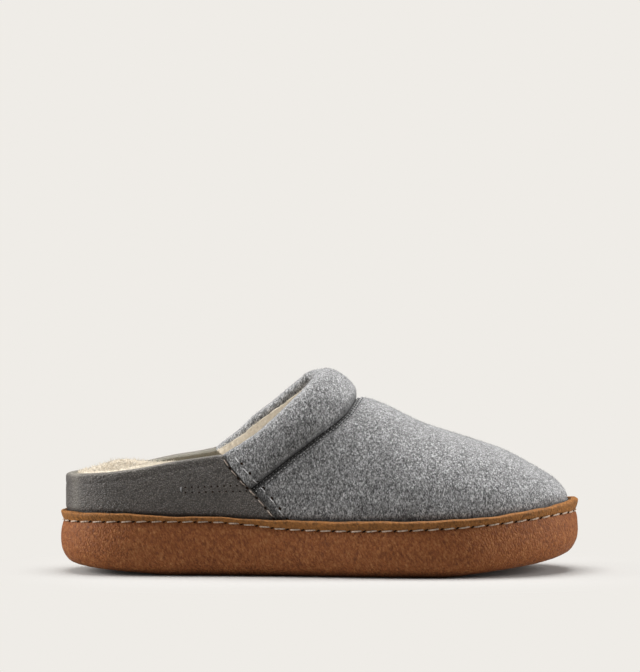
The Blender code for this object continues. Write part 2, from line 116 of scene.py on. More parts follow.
# Heights of the sole along the shoe: distance from the heel / SHOE_LENGTH,
# underside / SOLE_HEIGHT, stitched top / SOLE_HEIGHT, welt band / BAND_HEIGHT
SOLE = (
    (0.000, 0.210, 1.110, 1.00), (0.030, 0.185, 1.125, 0.92), (0.080, 0.125, 1.145, 0.88),
    (0.140, 0.070, 1.160, 0.72), (0.180, 0.030, 1.165, 0.60), (0.220, 0.000, 1.165, 0.50),
    (0.280, 0.000, 1.165, 0.46), (0.370, 0.000, 1.100, 0.58), (0.430, 0.000, 1.020, 0.82),
    (0.540, 0.000, 0.990, 0.94), (0.640, 0.000, 1.010, 0.90), (0.720, 0.000, 1.045, 0.83),
    (0.800, 0.085, 1.105, 0.77), (0.860, 0.165, 1.165, 0.82), (0.920, 0.255, 1.235, 0.88),
    (0.960, 0.335, 1.285, 1.02), (1.000, 0.410, 1.300, 1.25),
)

# Side wall of the outsole: height / local wall height, inset / EDGE_ROUND
SOLE_WALL = (
    (0.00, 1.000), (0.04, 0.680), (0.11, 0.440), (0.21, 0.230), (0.36, 0.060), (0.56, 0.000),
    (0.80, 0.050), (0.94, 0.140), (1.00, 0.237),
)

# Outer face of the welt band: height / local band height, inset / GROOVE_DEPTH
WELT_WALL = (
    (0.00, 1.00), (0.20, 0.62), (0.55, 0.16), (0.78, 0.00), (0.93, 0.16), (1.00, 0.63),
)

# Mouth of the felt wall behind the throat: distance from the heel / SHOE_LENGTH,
# height over the wall's foot from HEEL_RIM at 0 to THROAT_HEIGHT at 1,
# and how far up its arched section the edge lies, where 1 is the ridge
MOUTH = (
    (0.000, -0.010, 0.18), (0.080, 0.005, 0.28), (0.150, 0.045, 0.36), (0.230, 0.125, 0.43),
    (0.317, 0.200, 0.51), (0.345, 0.260, 0.56), (0.382, 0.375, 0.62), (0.420, 0.545, 0.69),
    (0.456, 0.715, 0.77), (0.487, 0.868, 0.87), (0.512, 1.000, 1.00),
)

# Ridge of the vamp from the throat to the toe: distance from the heel / SHOE_LENGTH,
# height over the wall's foot / THROAT_HEIGHT
RIDGE = (
    (0.512, 1.000), (0.569, 0.900), (0.617, 0.846), (0.695, 0.702), (0.780, 0.583), (0.854, 0.468),
    (0.915, 0.328), (0.956, 0.218), (0.977, 0.120), (0.9847, 0.000),
)

# Lower seam of the cuff in side view: distance from the heel / SHOE_LENGTH,
# height over the wall's foot / THROAT_HEIGHT
CUFF_SEAM = (
    (0.300, 0.070), (0.368, 0.243), (0.420, 0.416), (0.494, 0.632), (0.553, 0.802), (0.571, 0.893),
    (0.600, 1.000),
)

# Padding of the cuff along its length: share of the way from the quarter seam to the centre,
# padding / CUFF_PAD, facing / CUFF_FACING
CUFF = (
    (0.00, 0.12, 0.55), (0.06, 0.36, 0.62), (0.20, 0.62, 0.82), (0.50, 0.90, 1.00),
    (1.00, 1.00, 1.00),
)

# Inner side's mouth lies further back: distance from the heel / SHOE_LENGTH, share of the shift
INNER_SHIFT = (
    (0.080, 0.0), (0.250, 1.0), (0.310, 1.6), (0.370, 2.0), (0.440, 1.6), (0.487, 1.1),
    (0.512, 0.0),
)

# Footbed: distance from the heel / SHOE_LENGTH, thickness / FOOTBED_THICKNESS,
# height of its cup's rim as a share of the way from the footbed up to the mouth
FOOTBED = (
    (0.000, 1.90, 1.00), (0.120, 1.90, 0.98), (0.200, 1.75, 0.80), (0.280, 1.50, 0.45),
    (0.380, 1.15, 0.14), (0.480, 1.00, 0.05), (0.800, 1.00, 0.05), (1.000, 0.90, 0.10),
)

# Soft creases of the vamp: where the middle lies as a distance from the heel / SHOE_LENGTH and a
# share of the height at that place, its length and width in millimetres, its slope in degrees, and
# its depth in millimetres, below 0 for a ridge
VAMP_CREASES = (
    (0.585, 0.60, 46, 5.5, 48, 0.55), (0.640, 0.42, 40, 8.0, 40, 0.45),
    (0.500, 0.25, 30, 5.0, 30, 0.40), (0.540, 0.36, 34, 6.5, 35, -0.40),
    (0.760, 0.30, 52, 10.0, -12, 0.45), (0.840, 0.50, 36, 9.0, -25, 0.30),
)

# Soft creases of the leather, in the same columns
LEATHER_CREASES = (
    (0.020, 0.50, 26, 2.4, 88, 0.35), (0.045, 0.45, 24, 3.0, 86, -0.30),
    (0.075, 0.50, 22, 4.0, 84, 0.25), (0.200, 0.55, 46, 7.0, 8, 0.22),
    (0.290, 0.40, 40, 6.0, -14, 0.22),
)

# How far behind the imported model's seam the leather's front edge bows, as level up the wall and
# millimetres
SEAM_BOW = (
    (0.00, 0.9), (0.09, 1.6), (0.19, 2.5), (0.35, 3.5), (0.50, 4.0), (0.66, 3.4), (0.81, 2.4),
    (0.94, 0.7), (1.00, 0.3),
)

# Crest of the fleece at the heel: distance of the mouth's edge from the heel / SHOE_LENGTH,
# millimetres over that edge. A deep minus leaves the footbed as it is.
FLEECE_OUTER = (
    (0.000, 1.5), (0.026, 2.2), (0.056, 2.5), (0.096, 2.5), (0.142, 2.8), (0.175, 3.4),
    (0.196, 3.2), (0.215, 1.9), (0.235, -3.0), (0.270, -12.0), (0.320, -100.0), (1.000, -200.0),
)
FLEECE_INNER = (
    (0.000, 1.5), (0.026, 2.4), (0.056, 3.8), (0.090, 5.6), (0.110, 5.6), (0.132, 4.2),
    (0.153, 2.6), (0.174, 0.5), (0.196, -2.5), (0.235, -8.0), (0.320, -100.0), (1.000, -200.0),
)

# Double dotted row of the quarter: where it starts and ends as distances from the heel /
# SHOE_LENGTH, and its heights over the floor there in millimetres
DOTTED_ROWS = (
    (0.2383, 49.80, 0.3640, 51.10), (0.2383, 46.90, 0.3672, 48.00),
)
THREAD_BAR = (0.2363, 50.44, 0.2363, 47.08)

QUARTER_FOOT = 0.427 * SHOE_LENGTH
QUARTER_TOP = 0.318 * SHOE_LENGTH

# Threads and holes: share of its pitch that a stitch covers, width and height of each hole, and how
# far the rows lie from the leather's front edge, from the cuff's seam and from one another
WELT_COVER = 0.80
WELT_SLANT = math.radians(5)
WELT_HOLE = 2.4 * MM, 1.0 * MM
WELT_HOLE_SLANT = math.radians(28)
SEAM_COVER = 0.74
SEAM_SLANT = math.radians(3)
SEAM_HOLE = 2.0 * MM, 1.4 * MM
LEATHER_THREAD_AT = -1.3 * MM
FELT_THREAD_AT = 4.8 * MM
FELT_HOLES_AT = 5.8 * MM
PINHOLE = 1.15 * MM, 0.95 * MM
PINHOLE_PITCH = 3.50 * MM
CUFF_ROWS_AT = 1.5 * MM, 3.3 * MM
CUFF_ROW_PITCH = 2.3 * MM
CUFF_ROW_SLANTS = math.radians(12), math.radians(-12)

# Where the sewing pulls the felt in, from the leather's front edge and below the cuff's seam
FELT_PULLED_AT = 5.6 * MM
CUFF_PULLED_AT = 4.0 * MM

# Crumbs of the crepe rubber: how many a metre, and how deep
SOLE_CRUMBS = 640.0, 0.55 * MM
BAND_CRUMBS = 620.0, 0.5 * MM

# Waves of the band's top edge: length of each for one radian, height in millimetres, start,
# and the rows of the band's section that they move
BAND_WAVES = ((7.3 * MM, 0.20, 0.0), (2.9 * MM, 0.13, 1.0))
BAND_WAVED = slice(5, 12)

# Shadow under the felt on the band's top edge: rows of its section, how dark each is
BAND_SHADE = (8, 9, 10, 11), (0.0, 0.2, 0.75, 0.9)

# Lights: name, place, size, power in watts
LIGHTS = (
    ("overhead", (0.0, 0.10, 1.30), (1.2, 0.8), 27.0),
    ("left_box", (-1.10, -0.10, 0.35), (0.6, 0.8), 14.0),
    ("right_box", (1.10, -0.05, 0.40), (0.6, 0.8), 11.5),
    ("front_fill", (0.0, -1.60, 0.70), (1.6, 0.9), 0.2),
)
LIGHTS_AIM = Vector((0.0, 0.0, 0.04))

# Floor: it takes shadows near the shoe, in a long round patch, and is even light beyond it
PATCH_MIDDLE = 0.009
PATCH_HALF_LENGTH = 0.071
PATCH_REACH = 0.051
PATCH_FADE = 0.002, 0.085

# Lines that the faces of the outsole's underside and of the footbed draw in to, from heel to toe
SOLE_SPINE = 0.13 * SHOE_LENGTH, 0.87 * SHOE_LENGTH
BED_SPINE = 0.12 * SHOE_LENGTH, 0.86 * SHOE_LENGTH

# How the cuff swells out of its seam and is drawn in at it: height, and distance it takes
CUFF_SWELL = 2.4 * MM, 1.4 * MM
CUFF_DIP = 1.7 * MM, 1.0 * MM

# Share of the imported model's turned cuff that is made here, because the lining covers the rest
FACING_SHOWN = 0.09

# Crest of the footbed: share of the way across its edge, share of the crown's height, and the least
# height in millimetres. Inside the crest the fleece falls away by this power.
CREST = ((0.15, 0.75, 0.8), (0.50, 1.00, 1.2), (0.85, 0.70, 0.8))
CREST_LEAST = 1.2 * MM
DISH_POWER = 2.2

# Lining: how far inside the felt wall it lies, how far the cuff's padding lifts its top, and its
# rolled top edge as depth and height in millimetres and share of that lift
LINING_DEPTH = 3.6 * MM
LINING_LIFT = 3.8 * MM
LINING_TOP = (
    (0.4, -1.5, 0.0), (0.4, 0.0, 0.2), (1.6, 0.6, 1.0), (2.6, 0.3, 0.95), (3.0, -0.6, 0.5),
)

# Widths of single fibres
HAIR_WIDTH = 0.12 * MM
PILE_WIDTH = 0.26 * MM

# How finely the pieces are drawn
SOLE_STATIONS = 190
HEEL_RIBS = 50
VAMP_RIBS = 70
SEAM_CROWD = 0.55
LOW_ROWS = 44
CUFF_ROWS = 16
FOOT_CROWDING = 1.35
UNDERSIDE_RINGS = 13
SOLE_WALL_RINGS = np.concatenate([[0, 0.015, 0.04, 0.075], np.linspace(0.12, 1.0, 16)])
WELT_RINGS = 10
DISH_STEPS = (0.2, 0.4, 0.6, 0.8)
BED_STEPS = (0.15, 0.32, 0.5, 0.7, 0.9)
LINING_ROWS = 14
QUARTER_ROWS = 40
CUFF_OUTER_ROWS = 26
ROLL_STEPS = 12
FACING_ROWS = 6
OUTLINE_STEPS = 60
FINE = 500
STITCH_SIDES = 6
STITCH_RINGS = 5
HOLE_SIDES = 8
SMOOTH_ANGLE = math.radians(50)

# Threads and holes are laid on a piece from this far outside it
LAYING_REACH = 14 * MM


# Curves through tables

def cubic(t, step, a, slope_a, b, slope_b):
    """A smooth step of a curve from one value and slope to the next, as t runs from 0 to 1."""
    start = (1 + 2 * t) * (1 - t) ** 2 * a + t * (1 - t) ** 2 * step * slope_a
    end = t * t * (3 - 2 * t) * b + t * t * (t - 1) * step * slope_b
    return start + end


def smooth_curve(rows, column, x_size, size):
    """A curve through one column of a table that never overshoots its rows."""
    table = np.array(rows, dtype=float)
    xs, ys = table[:, 0] * x_size, table[:, column] * size
    step = np.diff(xs)
    slope = np.diff(ys) / step
    tangent = np.empty_like(ys)
    tangent[0], tangent[-1] = slope[0], slope[-1]
    for i in range(1, len(xs) - 1):
        before, after = slope[i - 1], slope[i]
        if before * after <= 0:
            tangent[i] = 0.0
        else:
            tangent[i] = 2.0 * before * after / (before + after)

    def at(x):
        x = np.clip(x, xs[0], xs[-1])
        i = np.clip(np.searchsorted(xs, x, side="right") - 1, 0, len(step) - 1)
        t = (x - xs[i]) / step[i]
        return cubic(t, step[i], ys[i], tangent[i], ys[i + 1], tangent[i + 1])

    return at


def closed_curve(points, steps):
    """Points on the smooth closed curve through the given ones, evenly many in each span."""
    p = np.array(points)
    after = np.roll(p, -1, axis=0) - p
    h = np.linalg.norm(after, axis=1)
    h_before = np.roll(h, 1)
    slope = after / h[:, None]
    slope_before = np.roll(slope, 1, axis=0)
    n = len(p)
    matrix = np.zeros((n, n))
    for i in range(n):
        matrix[i, (i - 1) % n] = h[i]
        matrix[i, i] = 2 * (h[i] + h_before[i])
        matrix[i, (i + 1) % n] = h_before[i]
    right = 3 * (h[:, None] * slope_before + h_before[:, None] * slope)
    tangent = np.linalg.solve(matrix, right)
    curve = []
    for i in range(n):
        j = (i + 1) % n
        for t in np.arange(steps) / steps:
            curve.append(cubic(t, h[i], p[i], tangent[i], p[j], tangent[j]))
    return np.array(curve)


def unit(v):
    return v / np.maximum(np.linalg.norm(v, axis=-1, keepdims=True), 1e-12)


def bell(value, width):
    """1 where the value is 0, falling softly to both sides, to 0.37 at the width."""
    return np.exp(-((value / width) ** 2))


def walked_along(points):
    """Distance walked to each point of a line."""
    steps = np.linalg.norm(np.diff(points, axis=0), axis=1)
    return np.concatenate([[0], np.cumsum(steps)])


def read_along(values, walked, where):
    """Rows of values given at distances walked, read at other distances."""
    return np.stack([np.interp(where, walked, column) for column in values.T], axis=-1)


# The plan outline and its insets

PLAN_SCALE = np.array([SHOE_LENGTH, BALL_WIDTH])
OUTLINE = closed_curve(np.array(PLAN) * PLAN_SCALE, OUTLINE_STEPS)
ORIGIN = (OUTLINE.min(axis=0) + OUTLINE.max(axis=0)) / 2
OUTLINE_LEFT = unit(np.roll(OUTLINE, -1, axis=0) - np.roll(OUTLINE, 1, axis=0))
INWARD = np.stack([-OUTLINE_LEFT[:, 1], OUTLINE_LEFT[:, 0]], axis=1)
TO_FRAME = np.array([ORIGIN[0], ORIGIN[1], 0.0])


def sides(inset):
    """The outer and the inner half of the outline at an inset, each from heel to toe."""
    ring = OUTLINE + INWARD * inset
    ring = np.roll(ring, -int(ring[:, 0].argmin()), axis=0)
    toe = int(ring[:, 0].argmax())
    outer = ring[: toe + 1]
    inner = np.vstack([ring[toe:], ring[:1]])[::-1]
    return outer, inner


def sideways(half, x):
    return np.interp(x, half[:, 0], half[:, 1])


underside_at = smooth_curve(SOLE, 1, SHOE_LENGTH, SOLE_HEIGHT)
sole_top_at = smooth_curve(SOLE, 2, SHOE_LENGTH, SOLE_HEIGHT)
band_at = smooth_curve(SOLE, 3, SHOE_LENGTH, BAND_HEIGHT)


def foot_at(x):
    """Height of the wall's foot, which stands on the outsole."""
    return sole_top_at(x) + CLEARANCE


def ring_at(inset, height):
    """A closed ring of points at an inset of the outline, its height a function of x."""
    outer, inner = sides(inset)
    share = (1 - np.cos(np.pi * np.arange(SOLE_STATIONS + 1) / SOLE_STATIONS)) / 2
    x = outer[0, 0] + (outer[-1, 0] - outer[0, 0]) * share
    there = np.stack([x, sideways(outer, x), height(x)], axis=1)
    back = np.stack([x, sideways(inner, x), height(x)], axis=1)[-2:0:-1]
    return np.vstack([there, back])


# Surface of the upper

FOOT_OUTER, FOOT_INNER = sides(FOOT_INSET)
HEEL_X, TOE_X = FOOT_OUTER[0, 0], FOOT_OUTER[-1, 0]
HEEL_Y, TIP_Y = FOOT_OUTER[0, 1], FOOT_OUTER[-1, 1]
THROAT_X = MOUTH[-1][0] * SHOE_LENGTH
RIM_RANGE = THROAT_HEIGHT - HEEL_RIM

mouth_rise = smooth_curve(MOUTH, 1, SHOE_LENGTH, RIM_RANGE)
mouth_share = smooth_curve(MOUTH, 2, SHOE_LENGTH, 1.0)
inner_shift = smooth_curve(INNER_SHIFT, 1, SHOE_LENGTH, MEDIAL_MOUTH_SHIFT)
seam_rise = smooth_curve(CUFF_SEAM, 1, SHOE_LENGTH, THROAT_HEIGHT)
seam_bow = smooth_curve(SEAM_BOW, 1, 1.0, MM)
fleece_outer = smooth_curve(FLEECE_OUTER, 1, SHOE_LENGTH, MM)
fleece_inner = smooth_curve(FLEECE_INNER, 1, SHOE_LENGTH, MM)
pad_at = smooth_curve(CUFF, 1, 1.0, CUFF_PAD)
cuff_facing_at = smooth_curve(CUFF, 2, 1.0, CUFF_FACING)
thick_at = smooth_curve(FOOTBED, 1, SHOE_LENGTH, FOOTBED_THICKNESS)
cup_at = smooth_curve(FOOTBED, 2, SHOE_LENGTH, 1.0)
THROAT_SLOPE = (MOUTH[-1][1] - MOUTH[-3][1]) * RIM_RANGE / (
    (MOUTH[-1][0] - MOUTH[-3][0]) * SHOE_LENGTH
)


def ridge_curve():
    """The ridge from throat to toe, through its rows by distance walked, not by x."""
    rows = np.array(RIDGE) * [SHOE_LENGTH, THROAT_HEIGHT]
    rows[-1] = TOE_X, SKIRT
    walked = walked_along(rows)
    x_of = smooth_curve(np.stack([walked, rows[:, 0]], axis=1), 1, 1.0, 1.0)
    z_of = smooth_curve(np.stack([walked, rows[:, 1]], axis=1), 1, 1.0, 1.0)
    fine = walked[-1] * np.linspace(0, 1, FINE)
    return x_of(fine), z_of(fine)


RIDGE_X, RIDGE_Z = ridge_curve()


def mouth_at(x, inner):
    """Height of the mouth over the foot, carried on past the throat at its slope."""
    if inner:
        x = x + inner_shift(x)
    behind = HEEL_RIM + mouth_rise(np.minimum(x, THROAT_X))
    return behind + THROAT_SLOPE * np.maximum(x - THROAT_X, 0)


def arch_at(x, inner):
    """Height of the whole arched section over the foot, which the mouth cuts behind the throat."""
    behind = mouth_at(np.minimum(x, THROAT_X), inner) / mouth_share(np.minimum(x, THROAT_X))
    ahead = np.interp(x, RIDGE_X, RIDGE_Z)
    return np.where(x < THROAT_X, behind, ahead)


RIDGE_LEVEL = (RIDGE_Z - SKIRT) / (mouth_at(RIDGE_X, False) - SKIRT)


def rib(inner, heel_part, share):
    """Points up one rib, the distance walked to each, and the share walked at the cuff's seam.

    A rib's level runs from 0 at the foot to 1 at the mouth. Behind the quarter seam its share
    runs from the heel to the seam, and ahead of it from the seam to the ridge at that level.
    """
    level = np.linspace(0, 1, FINE)
    top = QUARTER_TOP - (MEDIAL_MOUTH_SHIFT if inner else 0)
    seam = QUARTER_FOOT + (top - QUARTER_FOOT) * level - seam_bow(level)
    front = np.interp(level, RIDGE_LEVEL[::-1], RIDGE_X[::-1])
    if heel_part:
        x = HEEL_X + (seam - HEEL_X) * share
    else:
        x = seam + (front - seam) * share
    rise = SKIRT + level * (mouth_at(x, inner) - SKIRT)
    up = np.clip((rise - SKIRT) / np.maximum(arch_at(x, inner) - SKIRT, 1e-9), 0, 1)
    if not heel_part and share >= 1:
        up[:] = 1.0
    side = sideways(FOOT_INNER if inner else FOOT_OUTER, x)
    middle = HEEL_Y + (TIP_Y - HEEL_Y) * np.clip((x - THROAT_X) / (TOE_X - THROAT_X), 0, 1)
    y = middle + (side - middle) * np.sqrt(1 - up * up)
    points = np.stack([x, y, foot_at(x) + rise], axis=1)
    walked = walked_along(points)
    crossing = int(np.argmax(rise > seam_rise(x)))
    return points, walked, walked[crossing] / walked[-1]


def crowded(count, power):
    """Numbers from 0 to 1 that lie closer together near 0."""
    return np.linspace(0, 1, count + 1) ** power


VAMP_WAY = crowded(VAMP_RIBS, 2 - SEAM_CROWD)


def surface():
    """The upper's outer surface: columns round the shoe, rows from the foot up to the mouth."""
    heel = 1 - np.cos(np.pi / 2 * (1 - crowded(HEEL_RIBS, 1 / SEAM_CROWD)[:0:-1]))
    vamp = np.sin(np.pi / 2 * VAMP_WAY)
    shares = [(True, s) for s in heel] + [(False, s) for s in vamp]
    last = len(shares) - 1
    order = [(False, i) for i in range(last + 1)] + [(True, i) for i in range(last - 1, 0, -1)]
    columns = []
    for inner, i in order:
        heel_part, share = shares[i]
        points, walked, seam_share = rib(inner, heel_part, share)
        if heel_part:
            seam_share = rib(inner, False, 0.0)[2]
        low = seam_share * crowded(LOW_ROWS, FOOT_CROWDING)[:-1]
        high = np.linspace(seam_share, 1, CUFF_ROWS + 1)
        wanted = np.concatenate([low, high]) * walked[-1]
        line = read_along(points, walked, wanted)
        foot = line[:1] - [0, 0, SKIRT]
        columns.append(np.vstack([foot, line]))
    grid = np.array(columns)
    around = np.roll(grid, -1, axis=0) - np.roll(grid, 1, axis=0)
    upward = np.gradient(grid, axis=1)
    normal = unit(np.cross(around, upward))
    return grid, normal


GRID, NORMAL = surface()
TOE_COLUMN = HEEL_RIBS + VAMP_RIBS
COLUMNS = len(GRID)
SEAM_ROW = LOW_ROWS + 1
UP_WALL = np.array([walked_along(line) for line in GRID])


def distance_from_seam():
    """Distance round the shoe from the quarter seam on that side, below 0 towards the heel."""
    along = np.array([walked_along(row) for row in np.moveaxis(GRID, 1, 0)]).T
    outer = along - along[HEEL_RIBS]
    inner = along[COLUMNS - HEEL_RIBS] - along
    is_inner = np.arange(COLUMNS)[:, None] > TOE_COLUMN
    return np.where(is_inner, inner, outer)


FROM_QUARTER = distance_from_seam()
FROM_CUFF = UP_WALL - UP_WALL[:, SEAM_ROW: SEAM_ROW + 1]


def column(index):
    """Points, normals and distance walked up a column, whose index may lie between two."""
    low = int(math.floor(index))
    part = index - low
    a, b = low % COLUMNS, (low + 1) % COLUMNS
    points = GRID[a] * (1 - part) + GRID[b] * part
    normals = unit(NORMAL[a] * (1 - part) + NORMAL[b] * part)
    return points, normals, walked_along(points)


def up_column(col, distance):
    points, normals, walked = col
    return read_along(points, walked, distance), unit(read_along(normals, walked, distance))


def distance_to_height(col, height_over_foot):
    points, _, walked = col
    return float(np.interp(height_over_foot, points[:, 2] - foot_at(points[:, 0]), walked))


def creases(points, table):
    """How deep each point lies in the soft creases of a table, in metres."""
    x, z = points[..., 0], points[..., 2]
    depth = np.zeros_like(x)
    for place, share, length, width, slope, deep in table:
        middle_x = place * SHOE_LENGTH
        low = float(foot_at(middle_x))
        high = float(arch_at(np.array(middle_x), False))
        middle_z = low + share * high
        angle = math.radians(slope)
        along = (x - middle_x) * math.cos(angle) + (z - middle_z) * math.sin(angle)
        across = (z - middle_z) * math.cos(angle) - (x - middle_x) * math.sin(angle)
        fade = np.exp(-((along / (length * MM / 2)) ** 2) * 1.5)
        depth += deep * MM * fade * bell(across, width * MM / 2)
    return depth


# Making meshes

def make_active(piece):
    bpy.ops.object.select_all(action="DESELECT")
    piece.select_set(True)
    bpy.context.view_layer.objects.active = piece


def in_edit_mode(piece, *steps):
    """Run edit mode steps on all of one piece."""
    make_active(piece)
    bpy.ops.object.mode_set(mode="EDIT")
    for step in steps:
        bpy.ops.mesh.select_all(action="SELECT")
        step()
    bpy.ops.object.mode_set(mode="OBJECT")


def merge_doubles():
    bpy.ops.mesh.remove_doubles(threshold=1e-6)


def close_holes():
    bpy.ops.mesh.select_all(action="DESELECT")
    bpy.ops.mesh.select_non_manifold(extend=False, use_wire=False, use_multi_face=False,
                                     use_non_contiguous=False, use_verts=False)
    bpy.ops.mesh.fill_holes(sides=0)


def face_outwards():
    bpy.ops.mesh.normals_make_consistent(inside=False)


def swept(name, sections, round_shoe, round_section, capped=False):
    """A grid primitive laid over sections: columns round the shoe, rows along each section.

    Its UV map holds metres: round the shoe from the first column, and along the section.
    """
    columns, rows = sections.shape[:2]
    across = columns if round_shoe else columns - 1
    up = rows if round_section else rows - 1
    bpy.ops.object.select_all(action="DESELECT")
    bpy.ops.mesh.primitive_grid_add(x_subdivisions=across, y_subdivisions=up, size=1.0)
    piece = bpy.context.object
    piece.name = name
    mesh = piece.data
    mesh.name = name
    flat = np.empty(len(mesh.vertices) * 3)
    mesh.vertices.foreach_get("co", flat)
    flat = flat.reshape(-1, 3)[:, :2] + 0.5
    i = np.rint(flat[:, 0] * across).astype(int)
    j = np.rint(flat[:, 1] * up).astype(int)
    placed = sections[i % columns, j % rows] - TO_FRAME
    mesh.vertices.foreach_set("co", placed.astype(np.float32).ravel())
    loop_vertex = np.empty(len(mesh.loops), dtype=int)
    mesh.loops.foreach_get("vertex_index", loop_vertex)
    middle = sections[:, rows // 2]
    if round_shoe:
        middle = np.vstack([middle, middle[:1]])
    across_m = walked_along(middle)
    first = sections[columns // 4]
    if round_section:
        first = np.vstack([first, first[:1]])
    up_m = walked_along(first)
    uv = np.stack([across_m[i[loop_vertex]], up_m[j[loop_vertex]]], axis=1)
    mesh.uv_layers[0].data.foreach_set("uv", uv.astype(np.float32).ravel())
    set_point_attribute(piece, "row", j % rows)
    set_point_attribute(piece, "column", i % columns)
    mesh.update()
    steps = [merge_doubles]
    if capped:
        steps += [close_holes, face_outwards]
    in_edit_mode(piece, *steps)
    return piece


def apply_modifier(piece, kind, **values):
    """Add one modifier with its values and apply it."""
    make_active(piece)
    modifier = piece.modifiers.new(kind.lower(), kind)
    for key, value in values.items():
        setattr(modifier, key, value)
    bpy.ops.object.modifier_apply(modifier=modifier.name)


def lumps(piece, name, size, height):
    """Push a piece in and out along its normals by a soft noise."""
    texture = bpy.data.textures.new(name, "CLOUDS")
    texture.noise_scale = size
    texture.noise_depth = 1
    apply_modifier(
        piece, "DISPLACE", texture=texture, texture_coords="LOCAL", strength=height, mid_level=0.5
    )


def dress(piece, material, slot, *nodes):
    """Give a finished piece its smooth shading and material, fix it to the root body, and hide what it
    replaces.
    """
    make_active(piece)
    bpy.ops.object.shade_smooth_by_angle(angle=SMOOTH_ANGLE)
    piece.data.materials.clear()
    piece.data.materials.append(material)
    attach(piece, "root")
    if nodes:
        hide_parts(*nodes)
    return piece


def joined(name, corners, faces):
    """One mesh of many copies: corners is copies by points by 3, faces index one copy's points."""
    copies, points = corners.shape[:2]
    sizes = np.array([len(f) for f in faces])
    one = np.concatenate([np.array(f) for f in faces])
    loops = (one[None, :] + np.arange(copies)[:, None] * points).ravel()
    counts = np.tile(sizes, copies)
    starts = np.concatenate([[0], np.cumsum(counts)[:-1]])
    mesh = bpy.data.meshes.new(name)
    mesh.vertices.add(copies * points)
    mesh.vertices.foreach_set("co", (corners - TO_FRAME).astype(np.float32).ravel())
    mesh.loops.add(len(loops))
    mesh.loops.foreach_set("vertex_index", loops.astype(np.int32))
    mesh.polygons.add(len(counts))
    mesh.polygons.foreach_set("loop_start", starts.astype(np.int32))
    mesh.update(calc_edges=True)
    piece = bpy.data.objects.new(name, mesh)
    bpy.context.scene.collection.objects.link(piece)
    return piece


def set_point_attribute(piece, name, values):
    attribute = piece.data.attributes.new(name, "FLOAT", "POINT")
    attribute.data.foreach_set("value", np.asarray(values, dtype=np.float32).ravel())


def grid_place(piece, name):
    """The row or the column of the swept grid that each point of a piece came from."""
    values = np.empty(len(piece.data.vertices), dtype=np.float32)
    piece.data.attributes[name].data.foreach_get("value", values)
    return np.rint(values).astype(int)


def points_of(piece):
    """A piece's points, with x from the heel as the tables have it."""
    return np.array([v.co[:] for v in piece.data.vertices]) + TO_FRAME


def trees_of(*names):
    """Search trees of pieces, for laying threads on them."""
    depsgraph = bpy.context.evaluated_depsgraph_get()
    return [BVHTree.FromObject(bpy.data.objects[name], depsgraph) for name in names]


def laid_on(trees, points, outward):
    """Points brought from outside onto whichever piece they meet first, and smooth normals there."""
    places, normals = [], []
    for point, out in zip(points - TO_FRAME, outward):
        hits = []
        for tree in trees:
            place, normal, _, distance = tree.ray_cast(Vector(point + out * LAYING_REACH), Vector(-out))
            if place is not None and distance < 2 * LAYING_REACH:
                hits.append((distance, np.array(place), np.array(normal)))
        if hits:
            _, place, normal = min(hits, key=lambda hit: hit[0])
            places.append(place + TO_FRAME)
            normals.append(normal if np.dot(normal, out) > 0 else -normal)
    return np.array(places), smoothed(normals)


def smoothed(values, passes=6):
    """Normals with their small jumps taken out."""
    out = np.array(values)
    for _ in range(passes):
        longer = np.vstack([out[:1], out, out[-1:]])
        out = unit(longer[:-2] + longer[1:-1] + longer[2:])
    return out


def even_line(points, step):
    """Points a step apart along a line, whose rows may hold more than three numbers."""
    walked = walked_along(points[:, :3])
    wanted = np.arange(0, walked[-1], step)
    return read_along(points, walked, wanted)


def stitch_section(sides_round, rings):
    """One unit stitch from a cylinder primitive: along 0 to 1, then across and out of unit radius."""
    bpy.ops.object.select_all(action="DESELECT")
    bpy.ops.mesh.primitive_cylinder_add(
        vertices=sides_round, radius=1.0, depth=1.0, end_fill_type="NGON"
    )
    piece = bpy.context.object
    bpy.ops.object.mode_set(mode="EDIT")
    bpy.ops.mesh.select_all(action="DESELECT")
    bpy.ops.object.mode_set(mode="OBJECT")
    for edge in piece.data.edges:
        a, b = (piece.data.vertices[k].co for k in edge.vertices)
        edge.select = abs(a.z - b.z) > 0.5
    bpy.ops.object.mode_set(mode="EDIT")
    bpy.ops.mesh.select_mode(type="EDGE")
    bpy.ops.mesh.subdivide(number_cuts=rings)
    bpy.ops.mesh.select_mode(type="VERT")
    bpy.ops.object.mode_set(mode="OBJECT")
    points = np.array([v.co for v in piece.data.vertices])
    faces = [tuple(f.vertices) for f in piece.data.polygons]
    mesh = piece.data
    bpy.data.objects.remove(piece)
    bpy.data.meshes.remove(mesh)
    return np.stack([points[:, 2] + 0.5, points[:, 0], points[:, 1]], axis=1), faces


def directions_along(line, normals, where):
    """Places at distances along a line, with the directions out, ahead and across there."""
    walked = walked_along(line)
    out = unit(read_along(normals, walked, where))
    before, after = (read_along(line, walked, where + step * MM) for step in (-0.5, 0.5))
    ahead = unit(after - before)
    return read_along(line, walked, where), out, ahead, unit(np.cross(out, ahead))


